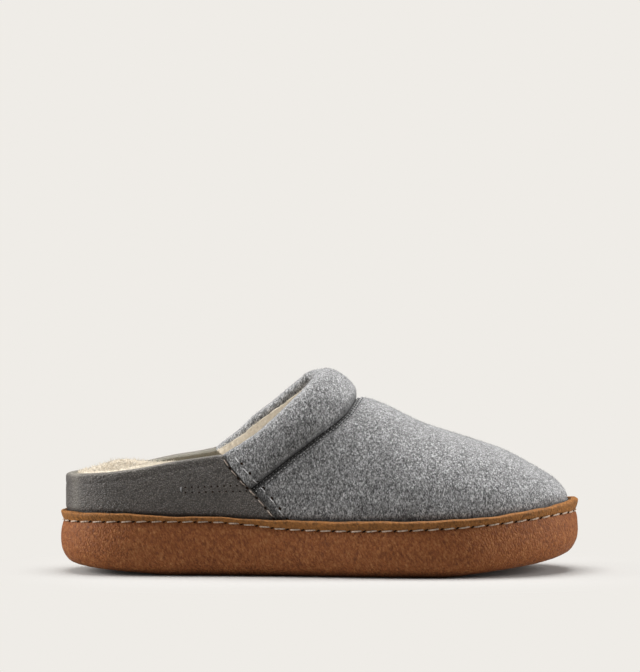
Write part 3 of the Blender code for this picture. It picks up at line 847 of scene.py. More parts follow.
def stitched(name, line, normals, pitch, length, thread, lift, slant=0.0):
    """A row of stitches along a line: each rises out of its hole, lies over and sinks again."""
    unit_points, faces = stitch_section(STITCH_SIDES, STITCH_RINGS)
    whole = walked_along(line)[-1]
    count = int(whole / pitch)
    starts = (np.arange(count) + 0.5) * (whole / count) - length / 2
    along = np.clip(starts[:, None] + unit_points[None, :, 0] * length, 0, whole)
    place, out, _, across = directions_along(line, normals, along)
    t = unit_points[None, :, 0] * 2 - 1
    bow = 1 - np.abs(t) ** 3
    thin = 0.35 + 0.65 * np.sqrt(np.clip(1 - t ** 6, 0, 1))
    sideways_m = unit_points[None, :, 1] * thread / 2 * thin + t * math.tan(slant) * length / 2
    outwards = unit_points[None, :, 2] * thread / 2 * thin + lift * bow - thread * 0.6 * (1 - bow)
    corners = place + across * sideways_m[..., None] + out * outwards[..., None]
    return joined(name, corners, faces)


def holes(name, line, normals, pitch, width, height, lift, phase=0.0, slant=0.0):
    """Needle holes along a line, each a small flat disc painted dark for the shade inside the hole."""
    count = HOLE_SIDES
    turn = 2 * np.pi * np.arange(count) / count
    disc = np.stack([np.cos(turn) * width / 2, np.sin(turn) * height / 2], axis=1)
    cos, sin = math.cos(slant), math.sin(slant)
    disc = np.vstack([disc @ np.array([[cos, sin], [-sin, cos]]), [[0, 0]]])
    faces = [(k, (k + 1) % count, count) for k in range(count)]
    whole = walked_along(line)[-1]
    number = int(whole / pitch)
    wanted = np.clip((np.arange(number) + phase) * (whole / number), 0, whole)
    place, out, ahead, across = directions_along(line, normals, wanted)
    corners = (
        place[:, None]
        + ahead[:, None] * disc[None, :, :1]
        + across[:, None] * disc[None, :, 1:]
        + out[:, None] * lift
    )
    return joined(name, corners, faces)


def scattered(sections, rows, count, seed, round_shoe=True):
    """Random places on part of a swept surface, evenly by area, with the normals there."""
    random = np.random.default_rng(seed)
    part = sections[:, rows[0]: rows[1] + 1]
    if round_shoe:
        part = np.concatenate([part, part[:1]], axis=0)
    around = part[1:, :-1] - part[:-1, :-1]
    along = part[:-1, 1:] - part[:-1, :-1]
    cross = np.cross(around, along)
    area = np.linalg.norm(cross, axis=-1)
    share = np.cumsum(area.ravel())
    cell = np.searchsorted(share, random.random(count) * share[-1])
    i, j = np.unravel_index(cell, area.shape)
    a, b = random.random((2, count, 1))
    place = (
        part[i, j] * (1 - a) * (1 - b)
        + part[i + 1, j] * a * (1 - b)
        + part[i, j + 1] * (1 - a) * b
        + part[i + 1, j + 1] * a * b
    )
    return place, unit(cross[i, j])


def fibres(name, places, normals, length, width, lean, curl, seed):
    """Hairs that stand on a surface, each a thin bent blade, and a random tone for each."""
    random = np.random.default_rng(seed)
    count = len(places)
    long = length * random.uniform(0.55, 1.25, (count, 1))
    first = unit(normals + lean * random.normal(size=(count, 3)))
    second = unit(first + curl * random.normal(size=(count, 3)))
    across = unit(np.cross(first, random.normal(size=(count, 3)))) * width / 2
    root = places - normals * 0.2 * MM
    middle = root + first * long * 0.55
    tip = middle + second * long * 0.45
    corners = np.stack(
        [root - across, root + across, middle + across * 0.8, middle - across * 0.8, tip], axis=1
    )
    piece = joined(name, corners, [(0, 1, 2, 3), (3, 2, 4)])
    set_point_attribute(piece, "tone", np.repeat(random.random(count), 5))
    smooth = np.repeat(normals, 5, axis=0).astype(np.float32)
    piece.data.normals_split_custom_set_from_vertices([tuple(n) for n in smooth])
    piece.visible_shadow = False
    return piece


# Materials

VECTOR, FLOAT = "NodeSocketVector", "NodeSocketFloat"

# Tones of the felt's fibres: place on the ramp, share of the felt's colour
FELT_TONES = ((0.34, 0.15), (0.46, 0.55), (0.52, 0.92), (0.58, 1.50), (0.70, 2.9))

# Strength of the fleece's painted glow: emission that stands in for the light that deep pile passes on
PAINTED_PILE_GLOW = 0.31


def feed(tree, node, values):
    """Give a node's sockets their numbers, or link them from other sockets."""
    for key, value in values.items():
        socket = node.inputs[int(key[1:]) if key[1:].isdigit() else key.replace("_", " ")]
        if isinstance(value, bpy.types.NodeSocket):
            tree.links.new(value, socket)
        else:
            socket.default_value = value


def new_node(tree, kind, settings=None, **values):
    """A node with its settings and its sockets fed, where _0 names the first socket."""
    node = tree.nodes.new(kind)
    for key, value in (settings or {}).items():
        setattr(node, key, value)
    feed(tree, node, values)
    return node


def math_node(tree, operation, a, b=0.0):
    return new_node(tree, "ShaderNodeMath", {"operation": operation}, _0=a, _1=b).outputs[0]


def times(tree, a, b):
    return math_node(tree, "MULTIPLY", a, b)


def plus(tree, a, b):
    return math_node(tree, "ADD", a, b)


def attribute(tree, name):
    return new_node(tree, "ShaderNodeAttribute", {"attribute_name": name}).outputs["Fac"]


def ramp(tree, factor, stops):
    """A colour ramp from places to colours."""
    node = new_node(tree, "ShaderNodeValToRGB", _0=factor)
    elements = node.color_ramp.elements
    while len(elements) < len(stops):
        elements.new(0.5)
    for element, (place, colour) in zip(elements, stops):
        element.position = place
        element.color = (*colour, 1.0)
    return node.outputs["Color"]


def remap(tree, value, low, high):
    """A smooth step from 0 at the low value to 1 at the high one."""
    node = new_node(tree, "ShaderNodeMapRange", {"interpolation_type": "SMOOTHSTEP"},
                    Value=value, From_Min=low, From_Max=high)
    return node.outputs["Result"]


def solid(colour):
    """A colour with its alpha, or a socket as it is."""
    return colour if isinstance(colour, bpy.types.NodeSocket) else (*colour, 1.0)


def mixed(tree, factor, a, b):
    """The first colour where the factor is 0, the second where it is 1."""
    node = new_node(tree, "ShaderNodeMix", {"data_type": "RGBA"}, _0=factor, _6=solid(a), _7=solid(b))
    return node.outputs[2]


def shaded(colour, by):
    return tuple(min(1.0, c * by) for c in colour)


def scaled(tree, vector, by):
    node = new_node(tree, "ShaderNodeVectorMath", {"operation": "SCALE"}, _0=vector, Scale=by)
    return node.outputs[0]


def new_group(name, inputs, outputs):
    """An empty shader group, whose sockets all hold numbers but the one named Vector."""
    group = bpy.data.node_groups.new(name, "ShaderNodeTree")
    for labels, way in ((inputs, "INPUT"), (outputs, "OUTPUT")):
        for label in labels:
            kind = VECTOR if label == "Vector" else FLOAT
            group.interface.new_socket(name=label, in_out=way, socket_type=kind)
    start = group.nodes.new("NodeGroupInput")
    end = group.nodes.new("NodeGroupOutput")
    return group, start.outputs, end.inputs


def fibre_group():
    """Crossing short fibres: a tone that is high on light fibres and low on dark ones."""
    group = bpy.data.node_groups.get("crossed_fibres")
    if group:
        return group
    group, given, made = new_group(
        "crossed_fibres", ("Vector", "Fibres per metre"), ("Tone", "Height")
    )
    place = scaled(group, given["Vector"], given["Fibres per metre"])
    high = low = None
    for turn in ((0.3, 1.1, 0.9), (1.3, 0.5, 2.3), (2.2, 1.9, 0.4)):
        turned = new_node(group, "ShaderNodeMapping", Vector=place, Rotation=turn, Scale=(1.0, 1.0, 0.45))
        noise = new_node(group, "ShaderNodeTexNoise", Vector=turned.outputs[0], Scale=1.0, Detail=1.5,
                         Roughness=0.6, Distortion=0.4).outputs["Fac"]
        high = math_node(group, "MAXIMUM", high, noise) if high is not None else noise
        low = math_node(group, "MINIMUM", low, noise) if low is not None else noise
    group.links.new(math_node(group, "SUBTRACT", plus(group, high, low), 0.5), made["Tone"])
    group.links.new(high, made["Height"])
    return group


def grain_group():
    """Pebbled grain: cells with soft valleys between them, and a fine tooth over all."""
    group = bpy.data.node_groups.get("pebbled_grain")
    if group:
        return group
    group, given, made = new_group(
        "pebbled_grain", ("Vector", "Cells per metre", "Wander"), ("Height", "Valley", "Cell")
    )
    place = scaled(group, given["Vector"], given["Cells per metre"])
    warp = new_node(group, "ShaderNodeTexNoise", Vector=place, Scale=0.8, Detail=2.0)
    shift = scaled(group, warp.outputs["Color"], given["Wander"])
    moved = new_node(group, "ShaderNodeVectorMath", {"operation": "ADD"}, _0=place, _1=shift).outputs[0]
    edge, cell = (
        new_node(group, "ShaderNodeTexVoronoi", {"feature": feature}, Vector=moved, Scale=1.0)
        for feature in ("DISTANCE_TO_EDGE", "F1")
    )
    fine = new_node(group, "ShaderNodeTexNoise", Vector=place, Scale=3.2, Detail=3.0, Roughness=0.65)
    dome = remap(group, edge.outputs["Distance"], 0.0, 0.32)
    tooth = times(group, fine.outputs["Fac"], 0.45)
    brightness = new_node(group, "ShaderNodeSeparateColor", _0=cell.outputs["Color"])
    group.links.new(plus(group, dome, tooth), made["Height"])
    group.links.new(math_node(group, "SUBTRACT", 1.0, dome), made["Valley"])
    group.links.new(brightness.outputs[0], made["Cell"])
    return group


def blotch_group():
    """Broad soft patches, for colour that is never quite even."""
    group = bpy.data.node_groups.get("soft_blotches")
    if group:
        return group
    group, given, made = new_group("soft_blotches", ("Vector", "Patches per metre"), ("Patch",))
    place = scaled(group, given["Vector"], given["Patches per metre"])
    noise = new_node(group, "ShaderNodeTexNoise", Vector=place, Scale=1.0, Detail=3.0, Roughness=0.55)
    group.links.new(remap(group, noise.outputs["Fac"], 0.3, 0.7), made["Patch"])
    return group


def use_group(tree, group, **values):
    node = tree.nodes.new("ShaderNodeGroup")
    node.node_tree = group
    feed(tree, node, values)
    return node.outputs


def new_material(name, roughness, **constants):
    """A material with a Principled shader, its tree and its Object coordinates."""
    material = bpy.data.materials.new(name)
    material.use_nodes = True
    tree = material.node_tree
    shader = tree.nodes["Principled BSDF"]
    feed(tree, shader, {"Roughness": roughness, **constants})
    place = tree.nodes.new("ShaderNodeTexCoord").outputs["Object"]
    return material, tree, shader, place


def bump(tree, shader, *layers):
    """Chain bumps into the shader's normal; each layer is a height, a strength and a distance."""
    normal = None
    for height, strength, distance in layers:
        node = new_node(tree, "ShaderNodeBump", Height=height, Strength=strength, Distance=distance)
        if normal is not None:
            tree.links.new(normal, node.inputs["Normal"])
        normal = node.outputs["Normal"]
    tree.links.new(normal, shader.inputs["Normal"])


def felt_material(name, colours):
    """Heather wool felt: light and dark fibres over a grey ground, with a soft nap."""
    material, tree, shader, place = new_material(
        name, 0.95, Sheen_Weight=0.25, Sheen_Roughness=0.5, Specular_IOR_Level=0.15
    )
    fine = use_group(tree, fibre_group(), Vector=place, Fibres_per_metre=2100.0)
    broad = use_group(tree, fibre_group(), Vector=place, Fibres_per_metre=900.0)
    patch = use_group(tree, blotch_group(), Vector=place, Patches_per_metre=110.0)
    tone = plus(tree, times(tree, fine["Tone"], 0.62), times(tree, broad["Tone"], 0.38))
    tone = plus(tree, tone, times(tree, patch["Patch"], 0.03))
    grey = tuple(colours.felt)
    ground = ramp(tree, tone, [(at, shaded(grey, by)) for at, by in FELT_TONES])
    # Painted shade from a point attribute: darker felt in the seam grooves, along the sewn rows and just
    # above the band.
    colour = mixed(tree, attribute(tree, "painted_shade"), ground, shaded(grey, 0.22))
    feed(tree, shader, {"Base Color": colour})
    bump(tree, shader, (broad["Height"], 0.35, 0.6 * MM), (fine["Height"], 0.5, 0.35 * MM))
    return material


def leather_material(name, colours):
    """Soft warm grey leather with a fine grain, a little lighter where its rolled edge is worn, with a
    painted sheen down the heel's back and painted shade in the grain's valleys and just above the band.
    """
    material, tree, shader, place = new_material(
        name, 0.52, Specular_IOR_Level=0.42, Sheen_Weight=0.06, Sheen_Roughness=0.4
    )
    grain = use_group(tree, grain_group(), Vector=place, Cells_per_metre=900.0, Wander=0.5)
    pores = use_group(tree, grain_group(), Vector=place, Cells_per_metre=420.0, Wander=0.7)
    patch = use_group(tree, blotch_group(), Vector=place, Patches_per_metre=45.0)["Patch"]
    base = tuple(colours.leather)
    colour = mixed(tree, patch, shaded(base, 0.84), shaded(base, 1.12))
    colour = mixed(tree, times(tree, grain["Cell"], 0.5), colour, shaded(base, 1.7))
    # Painted shade in the grain's valleys.
    colour = mixed(tree, times(tree, grain["Valley"], 0.75), colour, shaded(base, 0.22))
    # Lighter where the rolled edge is worn, and a painted sheen down the heel's back, both towards the
    # leather_edge colour.
    rubbed = times(tree, attribute(tree, "wear_and_sheen"), plus(tree, times(tree, patch, 0.3), 0.50))
    colour = mixed(tree, rubbed, colour, colours.leather_edge)
    turned_in = times(tree, attribute(tree, "inside"), 0.85)
    colour = mixed(tree, turned_in, colour, colours.leather_back)
    # Painted shade on the leather just above the band.
    colour = mixed(tree, attribute(tree, "foot"), colour, shaded(base, 0.12))
    rough = plus(tree, times(tree, patch, 0.10), 0.46)
    feed(tree, shader, {"Base Color": colour, "Roughness": rough})
    bump(tree, shader, (pores["Height"], 0.4, 0.6 * MM), (grain["Height"], 0.6, 0.3 * MM))
    return material


def crepe_material(name, base, light, dark, crumbs, depth):
    """Crepe rubber: small crumbs pulled on a slant, mottled from dark to light, with painted shade
    between the crumbs, over its lowest millimetres by the floor and where a point attribute marks a
    shadow.
    """
    material, tree, shader, place = new_material(name, 0.62, Specular_IOR_Level=0.22)
    slanted = new_node(tree, "ShaderNodeMapping", Vector=place, Rotation=(0.0, 0.70, 0.0),
                       Scale=(1.0, 1.0, 0.72)).outputs[0]
    crumb = use_group(tree, grain_group(), Vector=slanted, Cells_per_metre=crumbs, Wander=0.9)
    small = use_group(tree, fibre_group(), Vector=slanted, Fibres_per_metre=crumbs * 1.6)
    patch = use_group(tree, blotch_group(), Vector=place, Patches_per_metre=45.0)
    tone = plus(tree, times(tree, small["Tone"], 0.74), times(tree, crumb["Cell"], 0.18))
    tone = plus(tree, tone, times(tree, patch["Patch"], 0.05))
    colour = ramp(tree, tone, [(0.24, dark), (0.48, base), (0.78, light)])
    # Painted shade between the crumbs, darker in their valleys.
    colour = mixed(tree, times(tree, crumb["Valley"], 0.30), colour, dark)
    # Painted shade: darker over the lowest few millimetres, where the sole meets the floor.
    height = new_node(tree, "ShaderNodeSeparateXYZ", Vector=place).outputs["Z"]
    painted_contact_shade = math_node(tree, "SUBTRACT", 1.0, times(tree, height, 230.0))
    colour = mixed(tree, painted_contact_shade, colour, shaded(dark, 0.35))
    # Painted shadow from a point attribute, as on the band's top edge under the felt.
    colour = mixed(tree, attribute(tree, "painted_shade"), colour, shaded(dark, 0.3))
    rough = plus(tree, times(tree, small["Tone"], 0.25), 0.48)
    feed(tree, shader, {"Base Color": colour, "Roughness": rough})
    bump(tree, shader, (crumb["Height"], 0.45, depth), (small["Height"], 0.5, depth * 0.6))
    return material


def fleece_material(name, colours):
    """Cream fleece ground under the pile, with a painted glow that stands in for the light the pile
    passes on, and painted shade in the valleys of its curls.
    """
    material, tree, shader, place = new_material(
        name, 0.95, Sheen_Weight=0.1, Sheen_Roughness=0.6, Specular_IOR_Level=0.1,
        Emission_Color=solid(colours.fleece), Emission_Strength=PAINTED_PILE_GLOW,
    )
    curl = use_group(tree, grain_group(), Vector=place, Cells_per_metre=330.0, Wander=1.2)
    patch = use_group(tree, blotch_group(), Vector=place, Patches_per_metre=90.0)
    cream = shaded(tuple(colours.fleece), 0.72)
    colour = mixed(tree, patch["Patch"], shaded(cream, 0.9), cream)
    colour = mixed(tree, times(tree, curl["Valley"], 0.3), colour, shaded(cream, 0.80))
    feed(tree, shader, {"Base Color": colour})
    bump(tree, shader, (curl["Height"], 0.5, 1.0 * MM))
    return material


def fibre_material(name, low, high, through=0.3, painted_glow=0.0):
    """Single fibres, each with its own tone between two colours, that let some light through.

    The last argument sets a painted glow of their own: emission that stands in for the light that deep
    pile passes on.
    """
    material, tree, shader, _ = new_material(
        name, 0.9, Sheen_Weight=0.1, Sheen_Roughness=0.5, Specular_IOR_Level=0.1,
        Emission_Color=solid(high), Emission_Strength=painted_glow,
    )
    colour = mixed(tree, attribute(tree, "tone"), low, high)
    feed(tree, shader, {"Base Color": colour})
    glow = new_node(tree, "ShaderNodeBsdfTranslucent", Color=colour)
    mix = new_node(tree, "ShaderNodeMixShader", _0=through, _1=shader.outputs[0], _2=glow.outputs[0])
    tree.links.new(mix.outputs[0], tree.nodes["Material Output"].inputs["Surface"])
    return material


def thread_material(name, colour):
    """Waxed thread, its strands laid round it."""
    material, tree, shader, place = new_material(name, 0.6, Specular_IOR_Level=0.3)
    strands = use_group(tree, fibre_group(), Vector=place, Fibres_per_metre=1500.0)
    stops = [(0.35, shaded(colour, 0.55)), (0.5, colour), (0.7, shaded(colour, 1.25))]
    feed(tree, shader, {"Base Color": ramp(tree, strands["Tone"], stops)})
    bump(tree, shader, (strands["Height"], 0.5, 0.15 * MM))
    return material


def hole_material():
    """The painted shade inside a needle hole, one material for all of them."""
    material = bpy.data.materials.get("needle_hole")
    if material:
        return material
    material, tree, shader, place = new_material("needle_hole", 0.95, Specular_IOR_Level=0.05)
    patch = use_group(tree, blotch_group(), Vector=place, Patches_per_metre=400.0)
    colour = mixed(tree, patch["Patch"], (0.012, 0.008, 0.006), (0.03, 0.018, 0.012))
    feed(tree, shader, {"Base Color": colour})
    return material


# What a user would change

def colour_of(name, description, default):
    return FloatVectorProperty(
        name=name, description=description, subtype="COLOR", size=3, min=0, max=1, default=default
    )


def length_of(name, description, default):
    return FloatProperty(
        name=name, description=description, subtype="DISTANCE", unit="LENGTH", default=default
    )


def angle_of(name, description, degrees):
    return FloatProperty(
        name=name, description=description, subtype="ANGLE", unit="ROTATION",
        default=math.radians(degrees),
    )


def number_of(name, description, default):
    return IntProperty(name=name, description=description, min=1000, max=60000, default=default)


class SlipperColours(PropertyGroup):
    """Colours of the slipper's materials."""

    felt: colour_of("Felt", "Ground colour of the heather felt", (0.223, 0.222, 0.222))
    leather: colour_of("Leather", "Colour of the quarter's leather", (0.122, 0.107, 0.095))
    # The leather_edge colour is also the colour of the painted sheen down the heel's back.
    leather_edge: colour_of(
        "Leather edge", "Colour of the leather where it is rolled or rubbed", (0.26, 0.24, 0.20)
    )
    leather_back: colour_of(
        "Turned leather", "Colour of the leather where it is turned inside", (0.22, 0.205, 0.155)
    )
    crepe: colour_of("Crepe sole", "Colour of the outsole's crepe rubber", (0.285, 0.092, 0.026))
    crepe_light: colour_of(
        "Crepe crumbs", "Colour of the crepe's lightest crumbs", (0.43, 0.185, 0.066)
    )
    crepe_dark: colour_of("Crepe pits", "Colour of the crepe's darkest pits", (0.14, 0.042, 0.012))
    band: colour_of("Welt band", "Colour of the welt band", (0.325, 0.134, 0.034))
    thread: colour_of("Welt thread", "Colour of the thread in the welt", (0.58, 0.45, 0.35))
    seam_thread: colour_of(
        "Seam thread", "Colour of the thread along the leather's front edge", (0.44, 0.36, 0.30)
    )
    fleece: colour_of("Fleece", "Colour of the fleece lining", (0.80, 0.715, 0.585))


class SlipperSizes(PropertyGroup):
    """Sizes of the slipper's sewing and pile."""

    welt_pitch: length_of(
        "Welt stitch pitch", "Distance from one welt stitch to the next", 8.6 * MM
    )
    welt_thread: length_of("Welt thread", "Thickness of the thread in the welt", 0.9 * MM)
    seam_pitch: length_of(
        "Seam stitch pitch", "Distance from one quarter stitch to the next", 7.2 * MM
    )
    seam_thread: length_of("Seam thread", "Thickness of the thread in the quarter seam", 0.65 * MM)
    groove: length_of("Cuff groove", "Depth of the groove where the cuff is sewn on", 2.2 * MM)
    pile_length: length_of("Pile length", "Length of the fleece fibres", 2.6 * MM)
    pile_count: number_of("Pile fibres", "Number of fibres on the footbed, and on the lining", 48000)
    nap_length: length_of("Nap length", "Length of the hairs that stand off the felt", 1.1 * MM)
    nap_count: number_of("Nap hairs", "Number of hairs on the upper", 26000)


class SlipperStage(PropertyGroup):
    """The floor, lights and camera."""

    backdrop: colour_of("Backdrop", "Colour of the backdrop and floor", (0.863, 0.839, 0.799))
    camera_distance: length_of("Camera distance", "From the middle of the sole on the floor", 2.0)
    camera_elevation: angle_of("Camera elevation", "Angle above the floor", 5.5)
    camera_tilt: angle_of("Camera tilt", "Angle that the camera looks down by", 1.67)
    lens: FloatProperty(
        name="Lens", description="Focal length in millimetres", default=187.5, min=10.0
    )


class SlipperPiece:
    """What all of the slipper's operators share."""

    bl_options = {"REGISTER", "UNDO"}


# Sole

class SLIPPER_OT_outsole(SlipperPiece, Operator):
    """Make the crepe outsole with its bulged wall, rocker and toe spring"""

    bl_idname = "slipper.outsole"
    bl_label = "Outsole"

    def execute(self, context):
        colours = context.scene.slipper_colours
        wall = smooth_curve(SOLE_WALL, 1, 1.0, EDGE_ROUND)
        rings = []
        bottom = ring_at(EDGE_ROUND, underside_at)
        for share in np.linspace(1, 0, UNDERSIDE_RINGS)[:-1]:
            x = bottom[:, 0] * (1 - share) + np.clip(bottom[:, 0], *SOLE_SPINE) * share
            y = bottom[:, 1] * (1 - share) + HEEL_Y * share
            rings.append(np.stack([x, y, underside_at(x)], axis=1))
        for share in SOLE_WALL_RINGS:
            def height(x, share=share):
                return underside_at(x) + (sole_top_at(x) - underside_at(x)) * share
            rings.append(ring_at(float(wall(share)), height))
        rings.append(ring_at(GROOVE_DEPTH + 3 * MM, sole_top_at))
        sections = np.moveaxis(np.array(rings), 0, 1)
        piece = swept("crepe_outsole", sections, True, False, capped=True)
        lumps(piece, "crepe_lumps", 7 * MM, 0.35 * MM)
        material = crepe_material(
            "crepe_sole", tuple(colours.crepe), tuple(colours.crepe_light),
            tuple(colours.crepe_dark), *SOLE_CRUMBS,
        )
        dress(piece, material, "crepe_sole", "outsole")
        return {"FINISHED"}


class SLIPPER_OT_welt(SlipperPiece, Operator):
    """Make the welt band that is pinched onto the outsole by its stitches"""

    bl_idname = "slipper.welt"
    bl_label = "Welt band"

    def execute(self, context):
        colours = context.scene.slipper_colours
        wall = smooth_curve(WELT_WALL, 1, 1.0, GROOVE_DEPTH)
        inner_edge = FOOT_INSET - SIDE_CLEARANCE
        rings = []
        for share in np.linspace(0, 1, WELT_RINGS):
            def height(x, share=share):
                return foot_at(x) - CLEARANCE * (1 - share) + band_at(x) * share
            rings.append(ring_at(float(wall(share)), height))

        def top(x):
            return foot_at(x) + band_at(x)

        for part in (0.45, 1.0):
            rings.append(ring_at(LIP_ROUND + (inner_edge - LIP_ROUND) * part, top))
        rings.append(ring_at(inner_edge, lambda x: foot_at(x) - CLEARANCE))
        sections = np.moveaxis(np.array(rings), 0, 1)
        around = walked_along(sections[:, 0])
        wave = sum(np.sin(around / size + start) * high for size, high, start in BAND_WAVES)
        sections[:, BAND_WAVED, 2] += wave[:, None] * MM
        piece = swept("crepe_welt", sections, True, True)
        along = points_of(piece)[:, 0] / SHOE_LENGTH
        # Painted shadow of the felt on the band's top edge, fading towards the toe, which the right-hand
        # lamp lights.
        shade = np.interp(grid_place(piece, "row"), *BAND_SHADE)
        set_point_attribute(piece, "painted_shade", shade * np.clip((0.92 - along) / 0.25, 0.15, 1))
        lumps(piece, "band_lumps", 5 * MM, 0.25 * MM)
        band = tuple(colours.band)
        material = crepe_material(
            "crepe_band", band, shaded(band, 1.35), shaded(band, 0.42), *BAND_CRUMBS
        )
        dress(piece, material, "crepe_band", "welt")
        return {"FINISHED"}


class SLIPPER_OT_welt_stitches(SlipperPiece, Operator):
    """Lay the thread in the groove between band and outsole, with its needle holes"""

    bl_idname = "slipper.welt_stitches"
    bl_label = "Welt stitches"

    def execute(self, context):
        sizes = context.scene.slipper_sizes
        colours = context.scene.slipper_colours

        def groove(x):
            return sole_top_at(x) + CLEARANCE / 2

        ring = ring_at(GROOVE_DEPTH - 0.25 * MM, groove)
        inner = ring_at(GROOVE_DEPTH + 2 * MM, groove)
        line = np.vstack([ring, ring[:1]])
        out = unit(line - np.vstack([inner, inner[:1]]))
        thread = thread_material("welt_thread", tuple(colours.thread))
        stitches = stitched(
            "welt_stitches", line, out, sizes.welt_pitch, sizes.welt_pitch * WELT_COVER,
            sizes.welt_thread, 0.45 * MM, slant=WELT_SLANT,
        )
        dress(stitches, thread, "crepe_band")
        dots = holes(
            "welt_holes", line, out, sizes.welt_pitch, *WELT_HOLE, lift=0.35 * MM,
            slant=WELT_HOLE_SLANT,
        )
        dress(dots, hole_material(), "crepe_band")
        return {"FINISHED"}


# Upper

def nap_on(cloth, sections, rows, count, seed, slot):
    """Short hairs that stand off a felt piece, on the rows of its outer side."""
    scene = bpy.context.scene
    places, normals = scattered(sections, rows, count, seed, round_shoe=False)
    hairs = fibres(f"{cloth}_nap", places, normals, scene.slipper_sizes.nap_length, HAIR_WIDTH,
                   1.1, 0.8, seed + 1)
    grey = tuple(scene.slipper_colours.felt)
    dress(hairs, fibre_material(f"{cloth}_hairs", shaded(grey, 0.5), shaded(grey, 2.3)), slot)


def wall_relief():
    """How far the felt stands in or out of the smooth wall, at each point of its grid."""
    groove = bpy.context.scene.slipper_sizes.groove
    away = FROM_CUFF
    ahead = FROM_QUARTER > 0
    dip = groove * bell(away, 1.6 * MM) * ahead
    swell = 0.7 * MM * bell(away + 6.0 * MM, 3.5 * MM) * ahead
    sewn = 0.35 * MM * bell(away + CUFF_PULLED_AT, 0.8 * MM) * ahead
    second = 0.4 * MM * bell(FROM_QUARTER - FELT_PULLED_AT, 0.9 * MM)
    folds = creases(GRID, VAMP_CREASES) * np.clip(FROM_QUARTER / (12 * MM), 0, 1)
    band = band_at(GRID[..., 0])
    tuck = 0.7 * MM * bell(GRID[..., 2] - foot_at(GRID[..., 0]) - band, 1.6 * MM)
    return swell - dip - sewn - second * (away < 0) - folds - tuck


class SLIPPER_OT_upper(SlipperPiece, Operator):
    """Make the felt vamp and wall, with the groove of the cuff's seam and its soft creases"""

    bl_idname = "slipper.upper"
    bl_label = "Felt upper"

    def execute(self, context):
        colours = context.scene.slipper_colours
        sizes = context.scene.slipper_sizes
        outside = GRID + NORMAL * wall_relief()[..., None]
        piece = swept("felt_upper", outside, True, False)
        rows, columns = grid_place(piece, "row"), grid_place(piece, "column")
        away = FROM_CUFF[columns, rows] / MM
        beside = FROM_QUARTER[columns, rows] / MM
        # Painted shade in the felt's colour: in the groove at the cuff's seam, in a darker strip beside
        # the leather's edge and in the groove the sewing pulls in beside it, along the two rows sewn
        # under the cuff's seam, and just above the band.
        seam = 0.65 * bell(away, 0.9) * (beside > 0)
        strip_and_groove_shade = 0.42 * bell(beside - 1.8, 2.2) + 0.45 * bell(beside - 5.6, 0.8)
        sewn_row_shade = 0.45 * (bell(away + 1.5, 0.5) + bell(away + 3.3, 0.5)) * (beside > 0)
        foot = 0.85 * shade_above_band(piece, 1.1 * MM)
        set_point_attribute(piece, "painted_shade", np.clip(seam + strip_and_groove_shade + sewn_row_shade + foot, 0, 0.85))
        apply_modifier(
            piece, "SOLIDIFY", thickness=FELT_WALL, offset=-1.0, use_even_offset=True,
            use_quality_normals=True,
        )
        lumps(piece, "felt_lumps", 22 * MM, 0.5 * MM)
        dress(piece, felt_material("wool_felt", colours), "wool_felt", "upper")
        vamp = outside[HEEL_RIBS:COLUMNS - HEEL_RIBS]
        nap_on("felt", vamp, (4, LOW_ROWS), sizes.nap_count, 11, "wool_felt")
        return {"FINISHED"}


def shade_above_band(piece, reach):
    """How near each point of a wall is to the band's top edge, from 0 to 1 and 1 below it, as the mask of
    the painted shade just above the band.
    """
    points = points_of(piece)
    above = points[:, 2] - foot_at(points[:, 0]) - band_at(points[:, 0])
    return bell(np.maximum(above, 0.0), reach)


def wrap(col, distances, thickness, rise, facing, facing_wall):
    """The section of a piece that lies on the wall, rolls over its edge and ends inside it.

    Gives its outer line and the line next to the wall, point for point.
    """
    outside, against = [], []
    for distance, thick in zip(distances, thickness):
        point, normal = up_column(col, distance)
        outside.append(point + normal * (CLEARANCE + thick))
        against.append(point + normal * min(CLEARANCE, CLEARANCE + thick - 0.2 * MM))
    top, normal = up_column(col, col[2][-1])
    below, _ = up_column(col, col[2][-1] - EDGE_LOOK)
    up = top - below
    up = unit(up - normal * float(np.dot(up, normal)))
    centre = top - normal * FELT_WALL / 2
    half = FELT_WALL / 2
    for step in range(1, ROLL_STEPS):
        angle = math.pi * step / ROLL_STEPS
        cos, sin = math.cos(angle), math.sin(angle)
        reach = thickness[-1] + (facing_wall - thickness[-1]) * (1 - cos) / 2
        near = CLEARANCE + (SIDE_CLEARANCE - CLEARANCE) * (1 - cos) / 2
        higher = up * sin * (SIDE_CLEARANCE + rise)
        outside.append(centre + normal * cos * (half + near + reach) + higher)
        against.append(centre + normal * cos * (half + near) + up * sin * SIDE_CLEARANCE)
    for part in np.linspace(0, 1, FACING_ROWS):
        point, normal = up_column(col, col[2][-1] - facing * part)
        thin = facing_wall * (0.45 if part == 1 else 1.0)
        outside.append(point - normal * (FELT_WALL + SIDE_CLEARANCE + thin))
        against.append(point - normal * (FELT_WALL + SIDE_CLEARANCE))
    return outside, against


def wrapped(name, made):
    """A closed piece from wrapped sections."""
    outside = np.array([m[0] for m in made])
    against = np.array([m[1] for m in made])
    sections = np.concatenate([outside, against[:, ::-1]], axis=1)
    return swept(name, sections, False, True, capped=True), outside


